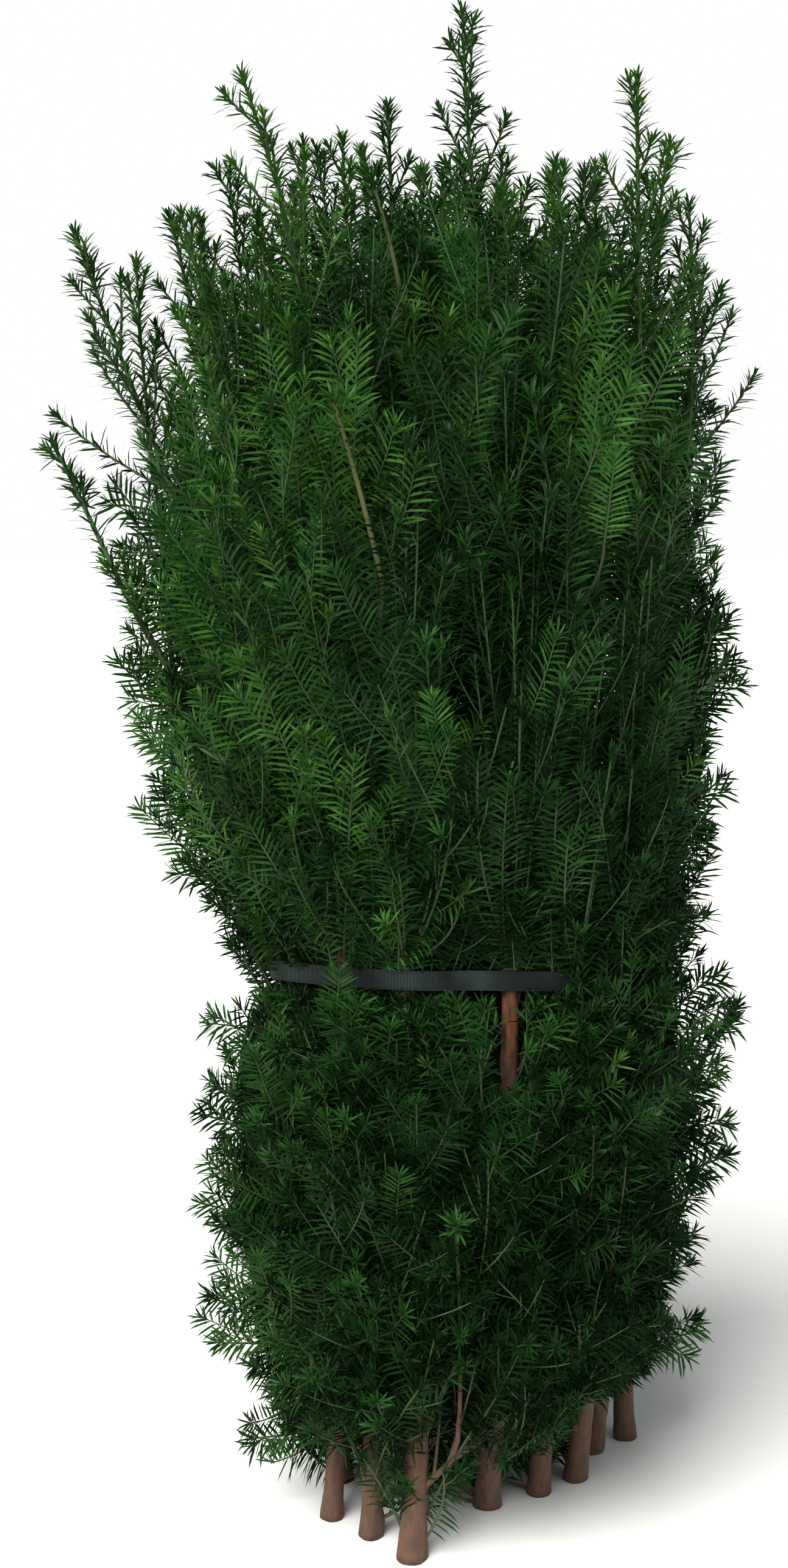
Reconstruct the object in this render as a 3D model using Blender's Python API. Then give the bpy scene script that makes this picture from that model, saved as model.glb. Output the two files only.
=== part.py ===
"""English yew: a clump of upright stems from one root, drawn in by a strap round its waist.

Units are metres, with +Z up and the front of the clump towards -Y. The origin is the centre
of the main stem's flat cut, which lies on level ground.

Each stem is a whole tapering limb from its flat cut up to the foot of its leading shoot.
Each mass of foliage grows from one twig that starts just clear of a limb, and keeps to its
own cell of space, so that no two masses meet.
"""

import math
import random
from collections import namedtuple

import bmesh
import bpy
import numpy as np
from mathutils import Matrix, Vector
from mathutils.bvhtree import BVHTree

# Strap round the waist
STRAP_HEIGHT = 0.730
STRAP_WIDTH = 0.025
STRAP_THICKNESS = 0.0018
STRAP_SLACK = 0.0005

# Outline that the stems take up at the waist, a squared-off oval
WAIST_CENTRE = (-0.028, 0.045)
WAIST_HALF_WIDTH = 0.238
WAIST_HALF_DEPTH = 0.168
WAIST_SQUARENESS = 2.8

# Stems
STEM_SIDES = 8
STEM_TIP_RADIUS = 0.0032
STEM_TAPER = 0.85
FLARE_SHARE = 0.32
FLARE_HEIGHT = 0.035
FLARE_LEVELS = (0.0, 0.03, 0.09)
STEM_LEVELS = 8
LEADER_LENGTH = 0.40

# Boughs and twigs
BOUGH_SIDES = 6
BOUGH_RINGS = 7
TWIG_SIDES = 3
TWIG_RADIUS = 0.0034
TWIG_TIP_RADIUS = 0.0016
TWIG_STEPS = 5
TWIG_STEP_OUT = 0.014
TWIG_STEP_UP = 0.008
TWIG_REACH = 0.20
END_SHARES = (1.0, 0.88, 0.76, 0.64, 0.52, 0.40, 0.28)
JOINT_GAP = 0.0003

# Space between one mass and the next, and between a mass and the limbs
CELL_MARGIN = 0.0006
LIMB_MARGIN = 0.0016
CELL_UPRIGHT = 0.42
SPINE_HALF = 0.03
GROUND_MARGIN = 0.012
STRAP_MARGIN = 0.004

# Dense heart of a mass
CORE_SIDES = 6
CORE_HALF_WIDTH = 0.036
CORE_HALF_HEIGHT = 0.090
CORE_REACH = 0.86
CORE_LEAST = 0.018
CORE_ROUGHNESS = 0.14

# Sprays of needles, each a toothed blade
SPRAYS_PER_MASS = 10
SPRAYS_PER_LEADER = 8
SPRAY_LENGTH = 0.265
SPRAY_WIDTH_SHARE = 0.40
SPRAY_THICKNESS_SHARE = 0.011
SPRAY_SHRINK = 0.975
SPRAY_TRIES = 36
SPRAY_SPREAD = 135
SPRAY_SWAY = 60
SIDE_LEANS = (72, 16)
LOW_LEANS = (112, 24)
LEADER_LEANS = (48, 14)
CROWN_REACH = 1.14
LEADER_REACH = 1.22
TOP_MARGIN = 0.012
GOLDEN_ANGLE = math.radians(137.508)

UP = Vector((0.0, 0.0, 1.0))

Stem = namedtuple("Stem", "name foot waist_angle tip radius")
Bough = namedtuple("Bough", "name stem height end rise radius end_radius")

STEMS = (
    Stem("main_stem", (0.000, 0.000), 276, (-0.038, 0.040, 1.872), 0.0150),
    Stem("stem_front_left", (-0.201, -0.030), 213, (-0.500, -0.010, 1.612), 0.0120),
    Stem("stem_front", (-0.150, -0.074), 236, (-0.368, -0.085, 1.622), 0.0125),
    Stem("stem_near_corner", (-0.099, -0.126), 257, (-0.288, -0.155, 1.758), 0.0155),
    Stem("stem_front_right", (0.069, 0.031), 292, (0.055, -0.150, 1.668), 0.0130),
    Stem("stem_right_corner", (0.121, 0.067), 318, (0.150, -0.100, 1.766), 0.0130),
    Stem("stem_right", (0.149, 0.145), 350, (0.232, 0.035, 1.650), 0.0150),
    Stem("stem_far_right", (0.201, 0.182), 22, (0.272, 0.160, 1.585), 0.0130),
    Stem("stem_back_right", (0.085, 0.240), 62, (0.140, 0.255, 1.728), 0.0130),
    Stem("stem_back", (-0.021, 0.217), 98, (-0.160, 0.275, 1.750), 0.0125),
    Stem("stem_back_left", (-0.112, 0.150), 128, (-0.235, 0.170, 1.742), 0.0130),
    Stem("stem_left", (-0.190, 0.065), 163, (-0.398, 0.100, 1.640), 0.0120),
)

BOUGHS = (
    Bough("bough_fork", "stem_near_corner", 0.105, (-0.040, -0.150, 0.285), 0.62, 0.0062, 0.0040),
    Bough("bough_low_right", "stem_right", 0.300, (0.240, 0.085, 0.490), 0.45, 0.0060, 0.0038),
    Bough("bough_left_arm", "stem_front_left", 1.020, (-0.455, -0.045, 1.215), 0.40, 0.0050, 0.0034),
    Bough("bough_centre_leader", "main_stem", 1.060, (-0.118, 0.020, 1.395), 0.75, 0.0052, 0.0034),
    Bough("bough_right_arm", "stem_far_right", 0.960, (0.240, 0.170, 1.120), 0.45, 0.0050, 0.0034),
)

# Where the bough's own foliage ends, from the tip of its bough
BOUGH_REACH = {
    "bough_fork": (-0.010, -0.070, 0.190),
    "bough_low_right": (0.085, -0.030, 0.180),
    "bough_left_arm": (-0.088, 0.030, 0.160),
    "bough_centre_leader": (-0.010, 0.015, 0.370),
    "bough_right_arm": (0.045, -0.010, 0.210),
}

# Crown outline: height, left edge, right edge, half depth
CROWN = (
    (0.00, -0.26, 0.20, 0.17),
    (0.12, -0.35, 0.24, 0.20),
    (0.30, -0.375, 0.25, 0.22),
    (0.50, -0.370, 0.25, 0.22),
    (0.66, -0.330, 0.245, 0.21),
    (0.73, -0.285, 0.230, 0.19),
    (0.81, -0.345, 0.260, 0.22),
    (0.95, -0.420, 0.300, 0.255),
    (1.10, -0.450, 0.290, 0.275),
    (1.30, -0.455, 0.285, 0.280),
    (1.50, -0.465, 0.275, 0.280),
    (1.90, -0.470, 0.275, 0.280),
)
CROWN_MIDDLE_Y = 0.045
CROWN_SQUARENESS = 2.5

# Tiers of masses round the clump: name, height, how many, first angle, share of the outline
TIERS = (
    ("foot", 0.235, 6, 20, 0.64),
    ("skirt", 0.540, 6, 52, 0.66),
    ("shoulder", 0.885, 7, 12, 0.68),
    ("crown", 1.115, 6, 40, 0.66),
)


def clear_scene():
    """Removes what the scene holds at the start."""
    for old in list(bpy.data.objects):
        bpy.data.objects.remove(old)


def make_material(name, colour, roughness):
    """A plain Principled material."""
    material = bpy.data.materials.new(name)
    material.use_nodes = True
    shader = material.node_tree.nodes["Principled BSDF"]
    shader.inputs["Base Color"].default_value = (*colour, 1.0)
    shader.inputs["Roughness"].default_value = roughness
    shader.inputs["Metallic"].default_value = 0.0
    return material


def make_object(name, points, faces, material, origin, collection=None):
    """A mesh object whose own origin is at a natural point of the piece."""
    mesh = bpy.data.meshes.new(name)
    mesh.from_pydata([Vector(p) - origin for p in points], [], faces)
    mesh.materials.append(material)
    piece = bpy.data.objects.new(name, mesh)
    piece.location = origin
    (collection or bpy.context.scene.collection).objects.link(piece)
    return piece


def superellipse(angle, half_width, half_depth, squareness):
    """The point of a squared-off oval at this parameter angle."""
    power = 2.0 / squareness
    c, s = math.cos(angle), math.sin(angle)
    x = half_width * math.copysign(abs(c) ** power, c)
    y = half_depth * math.copysign(abs(s) ** power, s)
    return x, y


def evenly(first, last, count):
    """Values in equal steps from first to last."""
    return tuple(first + (last - first) * k / (count - 1) for k in range(count))


def crown_section(z):
    """Centre x, half width and half depth of the crown at a height."""
    heights = [row[0] for row in CROWN]
    left, right, depth = (float(np.interp(z, heights, [row[k] for row in CROWN])) for k in (1, 2, 3))
    return (left + right) / 2, (right - left) / 2, depth


def crown_share(point):
    """How far out a point is, from 0 at the crown's middle to 1 on its outline."""
    centre, width, depth = crown_section(point[2])
    x = abs(point[0] - centre) / width
    y = abs(point[1] - CROWN_MIDDLE_Y) / depth
    return (x**CROWN_SQUARENESS + y**CROWN_SQUARENESS) ** (1 / CROWN_SQUARENESS)


def outward_at(point):
    """The level direction that leads out of the crown at a point."""
    centre, width, depth = crown_section(point[2])
    across = (point[0] - centre) / width**2
    along = (point[1] - CROWN_MIDDLE_Y) / depth**2
    return Vector((across, along, 0.0)).normalized()


def stem_radius(stem, z):
    """Taper from the foot to the leading shoot, with a root flare at the ground."""
    top = stem.tip[2] - LEADER_LENGTH
    rest = max(0.0, 1.0 - z / top) ** STEM_TAPER
    radius = STEM_TIP_RADIUS + (stem.radius - STEM_TIP_RADIUS) * rest
    return radius + FLARE_SHARE * stem.radius * math.exp(-z / FLARE_HEIGHT)


def waist_point(stem):
    """The stem's axis under the strap, set in from the waist's outline by its own radius."""
    angle = math.radians(stem.waist_angle)
    inset = stem_radius(stem, STRAP_HEIGHT)
    x, y = superellipse(
        angle, WAIST_HALF_WIDTH - inset, WAIST_HALF_DEPTH - inset, WAIST_SQUARENESS
    )
    return WAIST_CENTRE[0] + x, WAIST_CENTRE[1] + y


def stem_axis(stem, z):
    """The parabola through the stem's foot, its place under the strap, and its tip."""
    h0, h1, h2 = 0.0, STRAP_HEIGHT, stem.tip[2]
    a = (z - h1) * (z - h2) / ((h0 - h1) * (h0 - h2))
    b = (z - h0) * (z - h2) / ((h1 - h0) * (h1 - h2))
    c = (z - h0) * (z - h1) / ((h2 - h0) * (h2 - h1))
    waist = waist_point(stem)
    x = a * stem.foot[0] + b * waist[0] + c * stem.tip[0]
    y = a * stem.foot[1] + b * waist[1] + c * stem.tip[1]
    return Vector((x, y, z))


def stem_levels(stem):
    """Heights of the rings that a stem is drawn through."""
    top = stem.tip[2] - LEADER_LENGTH
    return FLARE_LEVELS + evenly(0.2, top, STEM_LEVELS)


def stem_rings(stem, extra=0.0):
    """Level rings of corners up a stem, one corner pair square to the way out of the clump."""
    turn = math.radians(stem.waist_angle) + math.pi / STEM_SIDES
    rings = []
    for z in stem_levels(stem):
        centre = stem_axis(stem, z)
        radius = stem_radius(stem, z) + extra
        ring = []
        for k in range(STEM_SIDES):
            angle = turn + 2 * math.pi * k / STEM_SIDES
            ring.append(centre + radius * Vector((math.cos(angle), math.sin(angle), 0.0)))
        rings.append(ring)
    return rings


def skin(rings):
    """Closed faces over a row of rings, with a flat cap at each end."""
    sides = len(rings[0])
    points = [p for ring in rings for p in ring]
    faces = [tuple(range(sides))[::-1]]
    for r in range(len(rings) - 1):
        low, high = r * sides, (r + 1) * sides
        for k in range(sides):
            n = (k + 1) % sides
            faces.append((low + k, low + n, high + n, high + k))
    last = (len(rings) - 1) * sides
    faces.append(tuple(range(last, last + sides)))
    return points, faces


def sweep(path, radii, sides):
    """Rings square to a path, carried along it without twist. The end rings are square to its ends."""
    rings = []
    side = None
    for k, point in enumerate(path):
        before = path[max(k - 1, 0)]
        after = path[min(k + 1, len(path) - 1)]
        along = (after - before).normalized()
        if side is None:
            side = along.cross(UP if abs(along.z) < 0.9 else Vector((1.0, 0.0, 0.0)))
        side = (side - along * side.dot(along)).normalized()
        other = along.cross(side)
        ring = []
        for n in range(sides):
            angle = 2 * math.pi * n / sides
            ring.append(point + radii[k] * (side * math.cos(angle) + other * math.sin(angle)))
        rings.append(ring)
    return rings


def bend(start, leave, end, arrive, steps):
    """A cubic curve that leaves start along one vector and comes to end along another."""
    first = start + leave / 3
    second = end - arrive / 3
    path = []
    for k in range(steps + 1):
        t = k / steps
        s = 1 - t
        path.append(
            start * s**3 + first * 3 * s * s * t + second * 3 * s * t * t + end * t**3
        )
    return path


def sockets_of(stem):
    """Places on a stem where a twig can start: (point, outward normal) at the middle of a flat side."""
    rings = stem_rings(stem)
    found = []
    for low, high in zip(rings[2:], rings[3:]):
        for k in range(STEM_SIDES):
            n = (k + 1) % STEM_SIDES
            normal = (low[n] - low[k]).cross(high[k] - low[k]).normalized()
            for share in (0.25, 0.5, 0.75):
                bottom = (low[k] + low[n]) / 2
                top = (high[k] + high[n]) / 2
                found.append((bottom.lerp(top, share), normal))
    return found


def bough_path(bough, stems):
    """From a flat side of its stem, out and then up to the bough's end."""
    end = Vector(bough.end)
    aim = Vector((end.x, end.y, bough.height))

    def cost(socket):
        point, normal = socket
        way = (aim - stem_axis(stems[bough.stem], point.z)).normalized()
        return abs(point.z - bough.height) - 0.05 * normal.dot(way)

    point, normal = min(sockets_of(stems[bough.stem]), key=cost)
    start = point + normal * JOINT_GAP
    out = start + normal * TWIG_STEP_OUT
    length = (end - out).length
    arrive = (end - out).normalized().lerp(UP, bough.rise).normalized() * length
    curve = bend(out, normal * length * 0.6, end, arrive, BOUGH_RINGS - 2)
    return [start] + curve


def tree_of(points, faces):
    return BVHTree.FromPolygons([Vector(p) for p in points], faces)


class Limbs:
    """The stems and boughs, as lines for cutting cores clear and as skins for testing twigs."""

    def __init__(self, stems, boughs):
        self.lines = {}
        self.trees = {}
        for stem in stems.values():
            levels = stem_levels(stem)
            line = [(stem_axis(stem, z), stem_radius(stem, z)) for z in levels]
            self.add(stem.name, line, stem_rings(stem, LIMB_MARGIN))
        for bough, path in boughs:
            radii = bough_radii(bough, len(path))
            fat = [r + LIMB_MARGIN for r in radii]
            self.add(bough.name, list(zip(path, radii)), sweep(path, fat, BOUGH_SIDES))

    def add(self, name, line, rings):
        self.lines[name] = line
        self.trees[name] = tree_of(*skin(rings))

    def touches(self, points, faces, leave_out=()):
        """Whether a shape meets any limb's skin."""
        shape = tree_of(points, faces)
        return any(
            tree.overlap(shape) for name, tree in self.trees.items() if name not in leave_out
        )

    def planes_round(self, centre):
        """A plane in front of each limb's nearest point, as seen from centre."""
        planes = []
        for line in self.lines.values():
            for (a, ra), (b, rb) in zip(line, line[1:]):
                along = b - a
                share = (centre - a).dot(along) / along.length_squared
                nearest = a + along * min(1.0, max(0.0, share))
                towards = nearest - centre
                if towards.length < 1e-6 or towards.length > 0.4:
                    continue
                normal = towards.normalized()
                limit = normal.dot(nearest) - max(ra, rb) - LIMB_MARGIN
                planes.append((normal, limit))
        return planes


def bough_radii(bough, count):
    return [
        bough.radius + (bough.end_radius - bough.radius) * k / (count - 1)
        for k in range(count)
    ]


def nearest_points(a, b):
    """The closest point of each of two straight lines, each given by its two ends."""
    along, other, between = a[1] - a[0], b[1] - b[0], b[0] - a[0]
    aa, bb, ab = along.dot(along), other.dot(other), along.dot(other)
    slant = aa * bb - ab * ab
    share = 0.5
    if slant > 1e-12:
        share = (along.dot(between) * bb - other.dot(between) * ab) / slant
    for _ in range(3):
        share = min(1.0, max(0.0, share))
        on_a = a[0] + along * share
        back = min(1.0, max(0.0, (on_a - b[0]).dot(other) / bb))
        on_b = b[0] + other * back
        share = (on_b - a[0]).dot(along) / aa
    share = min(1.0, max(0.0, share))
    return a[0] + along * share, on_b


def cell_planes(spine, others):
    """Planes (normal, limit) with normal . p <= limit, that hold the mass of one spine.

    Each lies halfway between this spine and another, in a space where heights are drawn in,
    so that a cell is taller than it is wide. More keep it off the ground and the strap.
    """
    squeeze = Vector((1.0, 1.0, CELL_UPRIGHT))
    planes = []
    here = [end * squeeze for end in spine]
    for other in others:
        mine, theirs = nearest_points(here, [end * squeeze for end in other])
        normal = (theirs - mine) * squeeze
        size = normal.length
        limit = (theirs - mine).dot((mine + theirs) / 2)
        planes.append((normal / size, limit / size - CELL_MARGIN))
    planes.append((-UP, -GROUND_MARGIN))
    edge = STRAP_WIDTH / 2 + STRAP_MARGIN
    if spine[0].z < STRAP_HEIGHT:
        planes.append((UP, STRAP_HEIGHT - edge))
    else:
        planes.append((-UP, -(STRAP_HEIGHT + edge)))
    return planes


def inside(point, planes, margin=0.0):
    return all(normal.dot(point) <= limit - margin for normal, limit in planes)


def reach_along(centre, direction, planes):
    """How far a ray from centre runs before the first plane."""
    far = math.inf
    for normal, limit in planes:
        speed = normal.dot(direction)
        if speed > 1e-9:
            far = min(far, (limit - normal.dot(centre)) / speed)
    return far


def core_shape(centre, planes, rng):
    """A rough upright lump: two rings of corners between a low and a high point."""
    def corner(direction, size):
        size *= 1 + CORE_ROUGHNESS * rng.uniform(-1, 1)
        reach = min(size, reach_along(centre, direction, planes))
        for _ in range(12):
            if reach < CORE_LEAST or crown_share(centre + direction * reach) < CORE_REACH:
                break
            reach *= 0.92
        return centre + direction * reach

    rings = []
    for rise in (-0.55, 0.55):
        height = rise * CORE_HALF_HEIGHT
        turn = rng.uniform(0, 2 * math.pi)
        ring = []
        for k in range(CORE_SIDES):
            angle = turn + 2 * math.pi * k / CORE_SIDES
            way = Vector((math.cos(angle), math.sin(angle), 0)) * CORE_HALF_WIDTH + UP * height
            ring.append(corner(way.normalized(), way.length))
        rings.append(ring)
    low, high = corner(-UP, CORE_HALF_HEIGHT), corner(UP, CORE_HALF_HEIGHT)
    points = [low, *rings[0], *rings[1], high]
    last = len(points) - 1
    first, second = range(1, 1 + CORE_SIDES), range(1 + CORE_SIDES, 1 + 2 * CORE_SIDES)
    shift = min(
        range(CORE_SIDES), key=lambda s: (points[first[0]] - points[second[s]]).xy.length
    )
    faces = []
    for k in range(CORE_SIDES):
        n = (k + 1) % CORE_SIDES
        a, b = first[k], first[n]
        c, d = second[(k + shift) % CORE_SIDES], second[(n + shift) % CORE_SIDES]
        faces += [(0, b, a), (a, b, d), (a, d, c), (c, d, last)]
    return points, faces


def spray_shape(root, along, facing, length):
    """A toothed blade: three pairs of teeth on a ridged midrib that bends a little upwards."""
    across = along.cross(facing).normalized()
    width = length * SPRAY_WIDTH_SHARE / 2
    thick = length * SPRAY_THICKNESS_SHARE

    def at(share, side, lift):
        droop = UP * (0.10 * length * share * share)
        return root + along * length * share + droop + across * side + facing * lift

    points = [at(0.0, 0.0, 0.0)]
    for share, half in ((0.34, 0.20), (0.64, 0.17)):
        rib = half * width
        points += [at(share, -rib, 0), at(share, 0, thick), at(share, rib, 0), at(share, 0, -thick)]
    points.append(at(1.0, 0.0, 0.0))
    teeth = []
    for share, half in ((0.42, 0.92), (0.74, 1.0), (0.95, 0.60)):
        teeth.append((len(points), len(points) + 1))
        points += [at(share, -half * width, 0), at(share, half * width, 0)]
    end = 9
    faces = []
    for side, (left, right) in enumerate(teeth):
        low = 1 + 4 * (side - 1)
        high = 1 + 4 * side
        for tooth, rib in ((left, 0), (right, 2)):
            turned = rib == 2
            if side == 0:
                made = [(0, high + 1, tooth), (tooth, high + 1, high + rib),
                        (0, tooth, high + 3), (tooth, high + rib, high + 3)]
            elif side == 1:
                made = [(low + rib, low + 1, tooth), (low + 1, high + 1, tooth), (tooth, high + 1, high + rib),
                        (low + rib, tooth, low + 3), (low + 3, tooth, high + 3), (tooth, high + rib, high + 3)]
            else:
                made = [(low + rib, low + 1, tooth), (low + 1, end, tooth),
                        (low + rib, tooth, low + 3), (low + 3, tooth, end)]
            faces += [face[::-1] for face in made] if turned else made
    return points, faces


def union_into(base, collection, solver):
    """Joins every object of a collection into base, and applies the join."""
    join = base.modifiers.new("join", "BOOLEAN")
    join.operation = "UNION"
    join.operand_type = "COLLECTION"
    join.collection = collection
    join.solver = solver
    graph = bpy.context.evaluated_depsgraph_get()
    joined = bpy.data.meshes.new_from_object(base.evaluated_get(graph))
    base.modifiers.clear()
    return joined


def largest_piece(mesh):
    """Leaves only the mesh's largest connected shell, so loose scraps and sealed hollows go."""
    work = bmesh.new()
    work.from_mesh(mesh)
    bmesh.ops.triangulate(work, faces=work.faces[:])
    left = set(work.verts)
    shells = []
    while left:
        todo = [left.pop()]
        shell = set(todo)
        while todo:
            for edge in todo.pop().link_edges:
                for vertex in edge.verts:
                    if vertex not in shell:
                        shell.add(vertex)
                        todo.append(vertex)
        left -= shell
        shells.append(shell)
    shells.sort(key=len)
    small = [v for shell in shells[:-1] for v in shell]
    bmesh.ops.delete(work, geom=small, context="VERTS")
    sound = all(edge.is_manifold for edge in work.edges) and len(work.faces) > 0
    work.to_mesh(mesh)
    work.free()
    return sound


def fuse(name, shapes, material, origin):
    """One solid from several closed shapes, tried with each Boolean solver in turn."""
    holder = bpy.data.collections.new(name + "_pieces")
    bpy.context.scene.collection.children.link(holder)
    base = make_object(name, *shapes[0], material, origin)
    for k, shape in enumerate(shapes[1:]):
        make_object(f"{name}_piece_{k}", *shape, material, origin, holder)
    for solver in ("MANIFOLD", "EXACT"):
        joined = union_into(base, holder, solver)
        if largest_piece(joined):
            break
    base.data = joined
    for piece in list(holder.objects):
        bpy.data.objects.remove(piece)
    bpy.data.collections.remove(holder)
    return base


def twig_path(start, normal, heart, end):
    """From its socket square out, through the heart of the mass, to the twig's tip."""
    out = start + normal * TWIG_STEP_OUT
    span = (end - heart).length
    path = [start, out]
    leave = (heart - out).length
    path += bend(out, normal * leave, heart, (end - out).normalized() * leave, 3)[1:]
    path += bend(heart, (end - out).normalized() * span, end, (end - heart), TWIG_STEPS - 2)[1:]
    return path


def point_along(path, share):
    """The point and direction at a share of a path's length."""
    lengths = [(b - a).length for a, b in zip(path, path[1:])]
    left = share * sum(lengths)
    for a, b, length in zip(path, path[1:], lengths):
        if left <= length:
            break
        left -= length
    return a.lerp(b, min(1.0, left / length)), (b - a).normalized()


def sprays_on(path, count, first_share, leans, reach, planes, limbs, rng):
    """Toothed blades set round a twig by the golden angle, leaning in towards its tip.

    A blade that leaves the mass's space or meets a limb is turned a little and shortened,
    and left out if it never fits.
    """
    made = []
    for k in range(count):
        share = first_share + (1.0 - first_share) * k / (count - 1)
        root, along = point_along(path, share * 0.985)
        side = along.cross(outward_at(root)).normalized()
        front = side.cross(along).normalized()
        turn = ((k * GOLDEN_ANGLE / math.pi) % 2 - 1) * SPRAY_SPREAD
        lean = leans[0] + (leans[1] - leans[0]) * k / (count - 1)
        length = SPRAY_LENGTH * (1.0 - 0.25 * share) * rng.uniform(0.9, 1.1)
        for _ in range(SPRAY_TRIES):
            angle = math.radians(turn + rng.uniform(-SPRAY_SWAY, SPRAY_SWAY))
            tilt = math.radians(lean + rng.uniform(-0.4, 0.4) * SPRAY_SWAY)
            radial = front * math.cos(angle) + side * math.sin(angle)
            way = (along * math.cos(tilt) + radial * math.sin(tilt)).normalized()
            facing = outward_at(root) + UP * 0.5 + radial * 0.4
            facing = (facing - way * facing.dot(way)).normalized()
            points, faces = spray_shape(root, way, facing, length)
            held = all(inside(p, planes) and crown_share(p) < reach for p in points)
            if held and not limbs.touches(points, faces):
                made.append((points, faces))
                break
            length *= SPRAY_SHRINK
    return made


def heart_of(site, limbs, planes):
    """The site, drawn outwards until it stands clear of every limb."""
    heart = site.copy()
    for _ in range(12):
        near = limbs.planes_round(heart)
        room = min((limit - normal.dot(heart) for normal, limit in near), default=1.0)
        if room > CORE_LEAST * 1.6:
            break
        moved = heart + outward_at(heart) * 0.01
        if not inside(moved, planes, CORE_LEAST) or crown_share(moved) > 0.9:
            break
        heart = moved
    return heart


def twig_ends(heart, planes):
    """Ends that a twig may grow to from the heart of its mass, the straight way out first."""
    outward = outward_at(heart)
    for turn in (0, 35, -35, 70, -70):
        for steep in (0.36, 0.10):
            way = UP * (1 - steep) + (Matrix.Rotation(math.radians(turn), 3, "Z") @ outward) * steep
            for share in END_SHARES:
                end = heart + way.normalized() * TWIG_REACH * share
                if inside(end, planes, 0.004) and crown_share(end) <= CROWN_REACH:
                    yield end
                    break


def twig_from_stem(heart, planes, stems, limbs):
    """The first clear twig from a stem's flat side, through the heart of a mass, to an end."""
    aim = heart - UP * 0.09 - outward_at(heart) * 0.05
    choices = []
    for stem in stems.values():
        for point, normal in sockets_of(stem):
            facing = normal.dot((heart - point).normalized())
            if facing > 0.2 and inside(point, planes, 0.006):
                choices.append(((point - aim).length - 0.06 * facing, tuple(point), tuple(normal)))
    for end in twig_ends(heart, planes):
        for _, point, normal in sorted(choices):
            start = Vector(point) + Vector(normal) * JOINT_GAP
            path = twig_path(start, Vector(normal), heart, end)
            radii = evenly(TWIG_RADIUS, TWIG_TIP_RADIUS, len(path))
            clear_part = skin(sweep(path[1:], radii[1:], TWIG_SIDES))
            whole = skin(sweep(path, radii, TWIG_SIDES))
            if all(inside(p, planes) for p in whole[0]) and not limbs.touches(*clear_part):
                return path, whole
    raise ValueError("no limb is clear for a twig to start from")


def mass_on_stem(name, site, planes, stems, limbs, material, rng):
    """A mass that starts from the flat side of a stem near its place."""
    heart = heart_of(site, limbs, planes)
    path, whole = twig_from_stem(heart, planes, stems, limbs)
    core_planes = planes + limbs.planes_round(heart)
    leans = LOW_LEANS if heart.z < STRAP_HEIGHT else SIDE_LEANS
    shapes = [whole, core_shape(heart, core_planes, rng)]
    shapes += sprays_on(path, SPRAYS_PER_MASS, 0.34, leans, CROWN_REACH, planes, limbs, rng)
    return fuse(name, shapes, material, path[0])


def mass_on_tip(name, start, square, along, end, planes, limbs, material, rng):
    """A mass that carries on from the end of a stem or bough, up to its own tip."""
    length = (end - start).length
    straight = (end - start) / length
    planes = planes + [(UP, end.z + TOP_MARGIN)]
    for stiffness in (1.0, 0.6, 0.3, 0.1):
        leave = straight.lerp(along, stiffness).normalized()
        path = [start] + bend(start + square * TWIG_STEP_UP, leave * length, end, end - start, TWIG_STEPS)
        radii = evenly(TWIG_RADIUS, TWIG_TIP_RADIUS, len(path))
        whole = skin(sweep(path, radii, TWIG_SIDES))
        if all(inside(p, planes) for p in whole[0]):
            break
    else:
        raise ValueError(f"{name} leaves its own space")
    heart, _ = point_along(path, 0.36)
    core_planes = planes + limbs.planes_round(heart)
    shapes = [whole]
    if inside(heart, core_planes, CORE_LEAST / 2):
        shapes.append(core_shape(heart, core_planes, rng))
    shapes += sprays_on(path, SPRAYS_PER_LEADER, 0.14, LEADER_LEANS, LEADER_REACH, planes, limbs, rng)
    return fuse(name, shapes, material, start)


def hull(points):
    """The convex outline of points in plan, anticlockwise."""
    points = sorted(set(points))

    def half(row):
        kept = []
        for p in row:
            while len(kept) > 1:
                (ax, ay), (bx, by) = kept[-2], kept[-1]
                if (bx - ax) * (p[1] - ay) - (by - ay) * (p[0] - ax) > 1e-9:
                    break
                kept.pop()
            kept.append(p)
        return kept[:-1]

    return half(points) + half(points[::-1])


def stem_outline_at(stem, z):
    """The corners of a stem's skin at a height, between the rings above and below it."""
    levels = stem_levels(stem)
    rings = stem_rings(stem)
    k = max(n for n, level in enumerate(levels[:-1]) if level <= z)
    share = (z - levels[k]) / (levels[k + 1] - levels[k])
    return [low.lerp(high, share) for low, high in zip(rings[k], rings[k + 1])]


def offset_outline(outline, distance):
    """A convex outline moved out by a distance, its corners mitred."""
    moved = []
    count = len(outline)
    for k in range(count):
        before, here, after = (Vector(outline[(k + n) % count]) for n in (-1, 0, 1))
        first = Vector(((here - before).y, -(here - before).x)).normalized()
        second = Vector(((after - here).y, -(after - here).x)).normalized()
        mitre = first + second
        moved.append(here + mitre * (distance / (mitre.dot(first))))
    return moved


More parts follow.
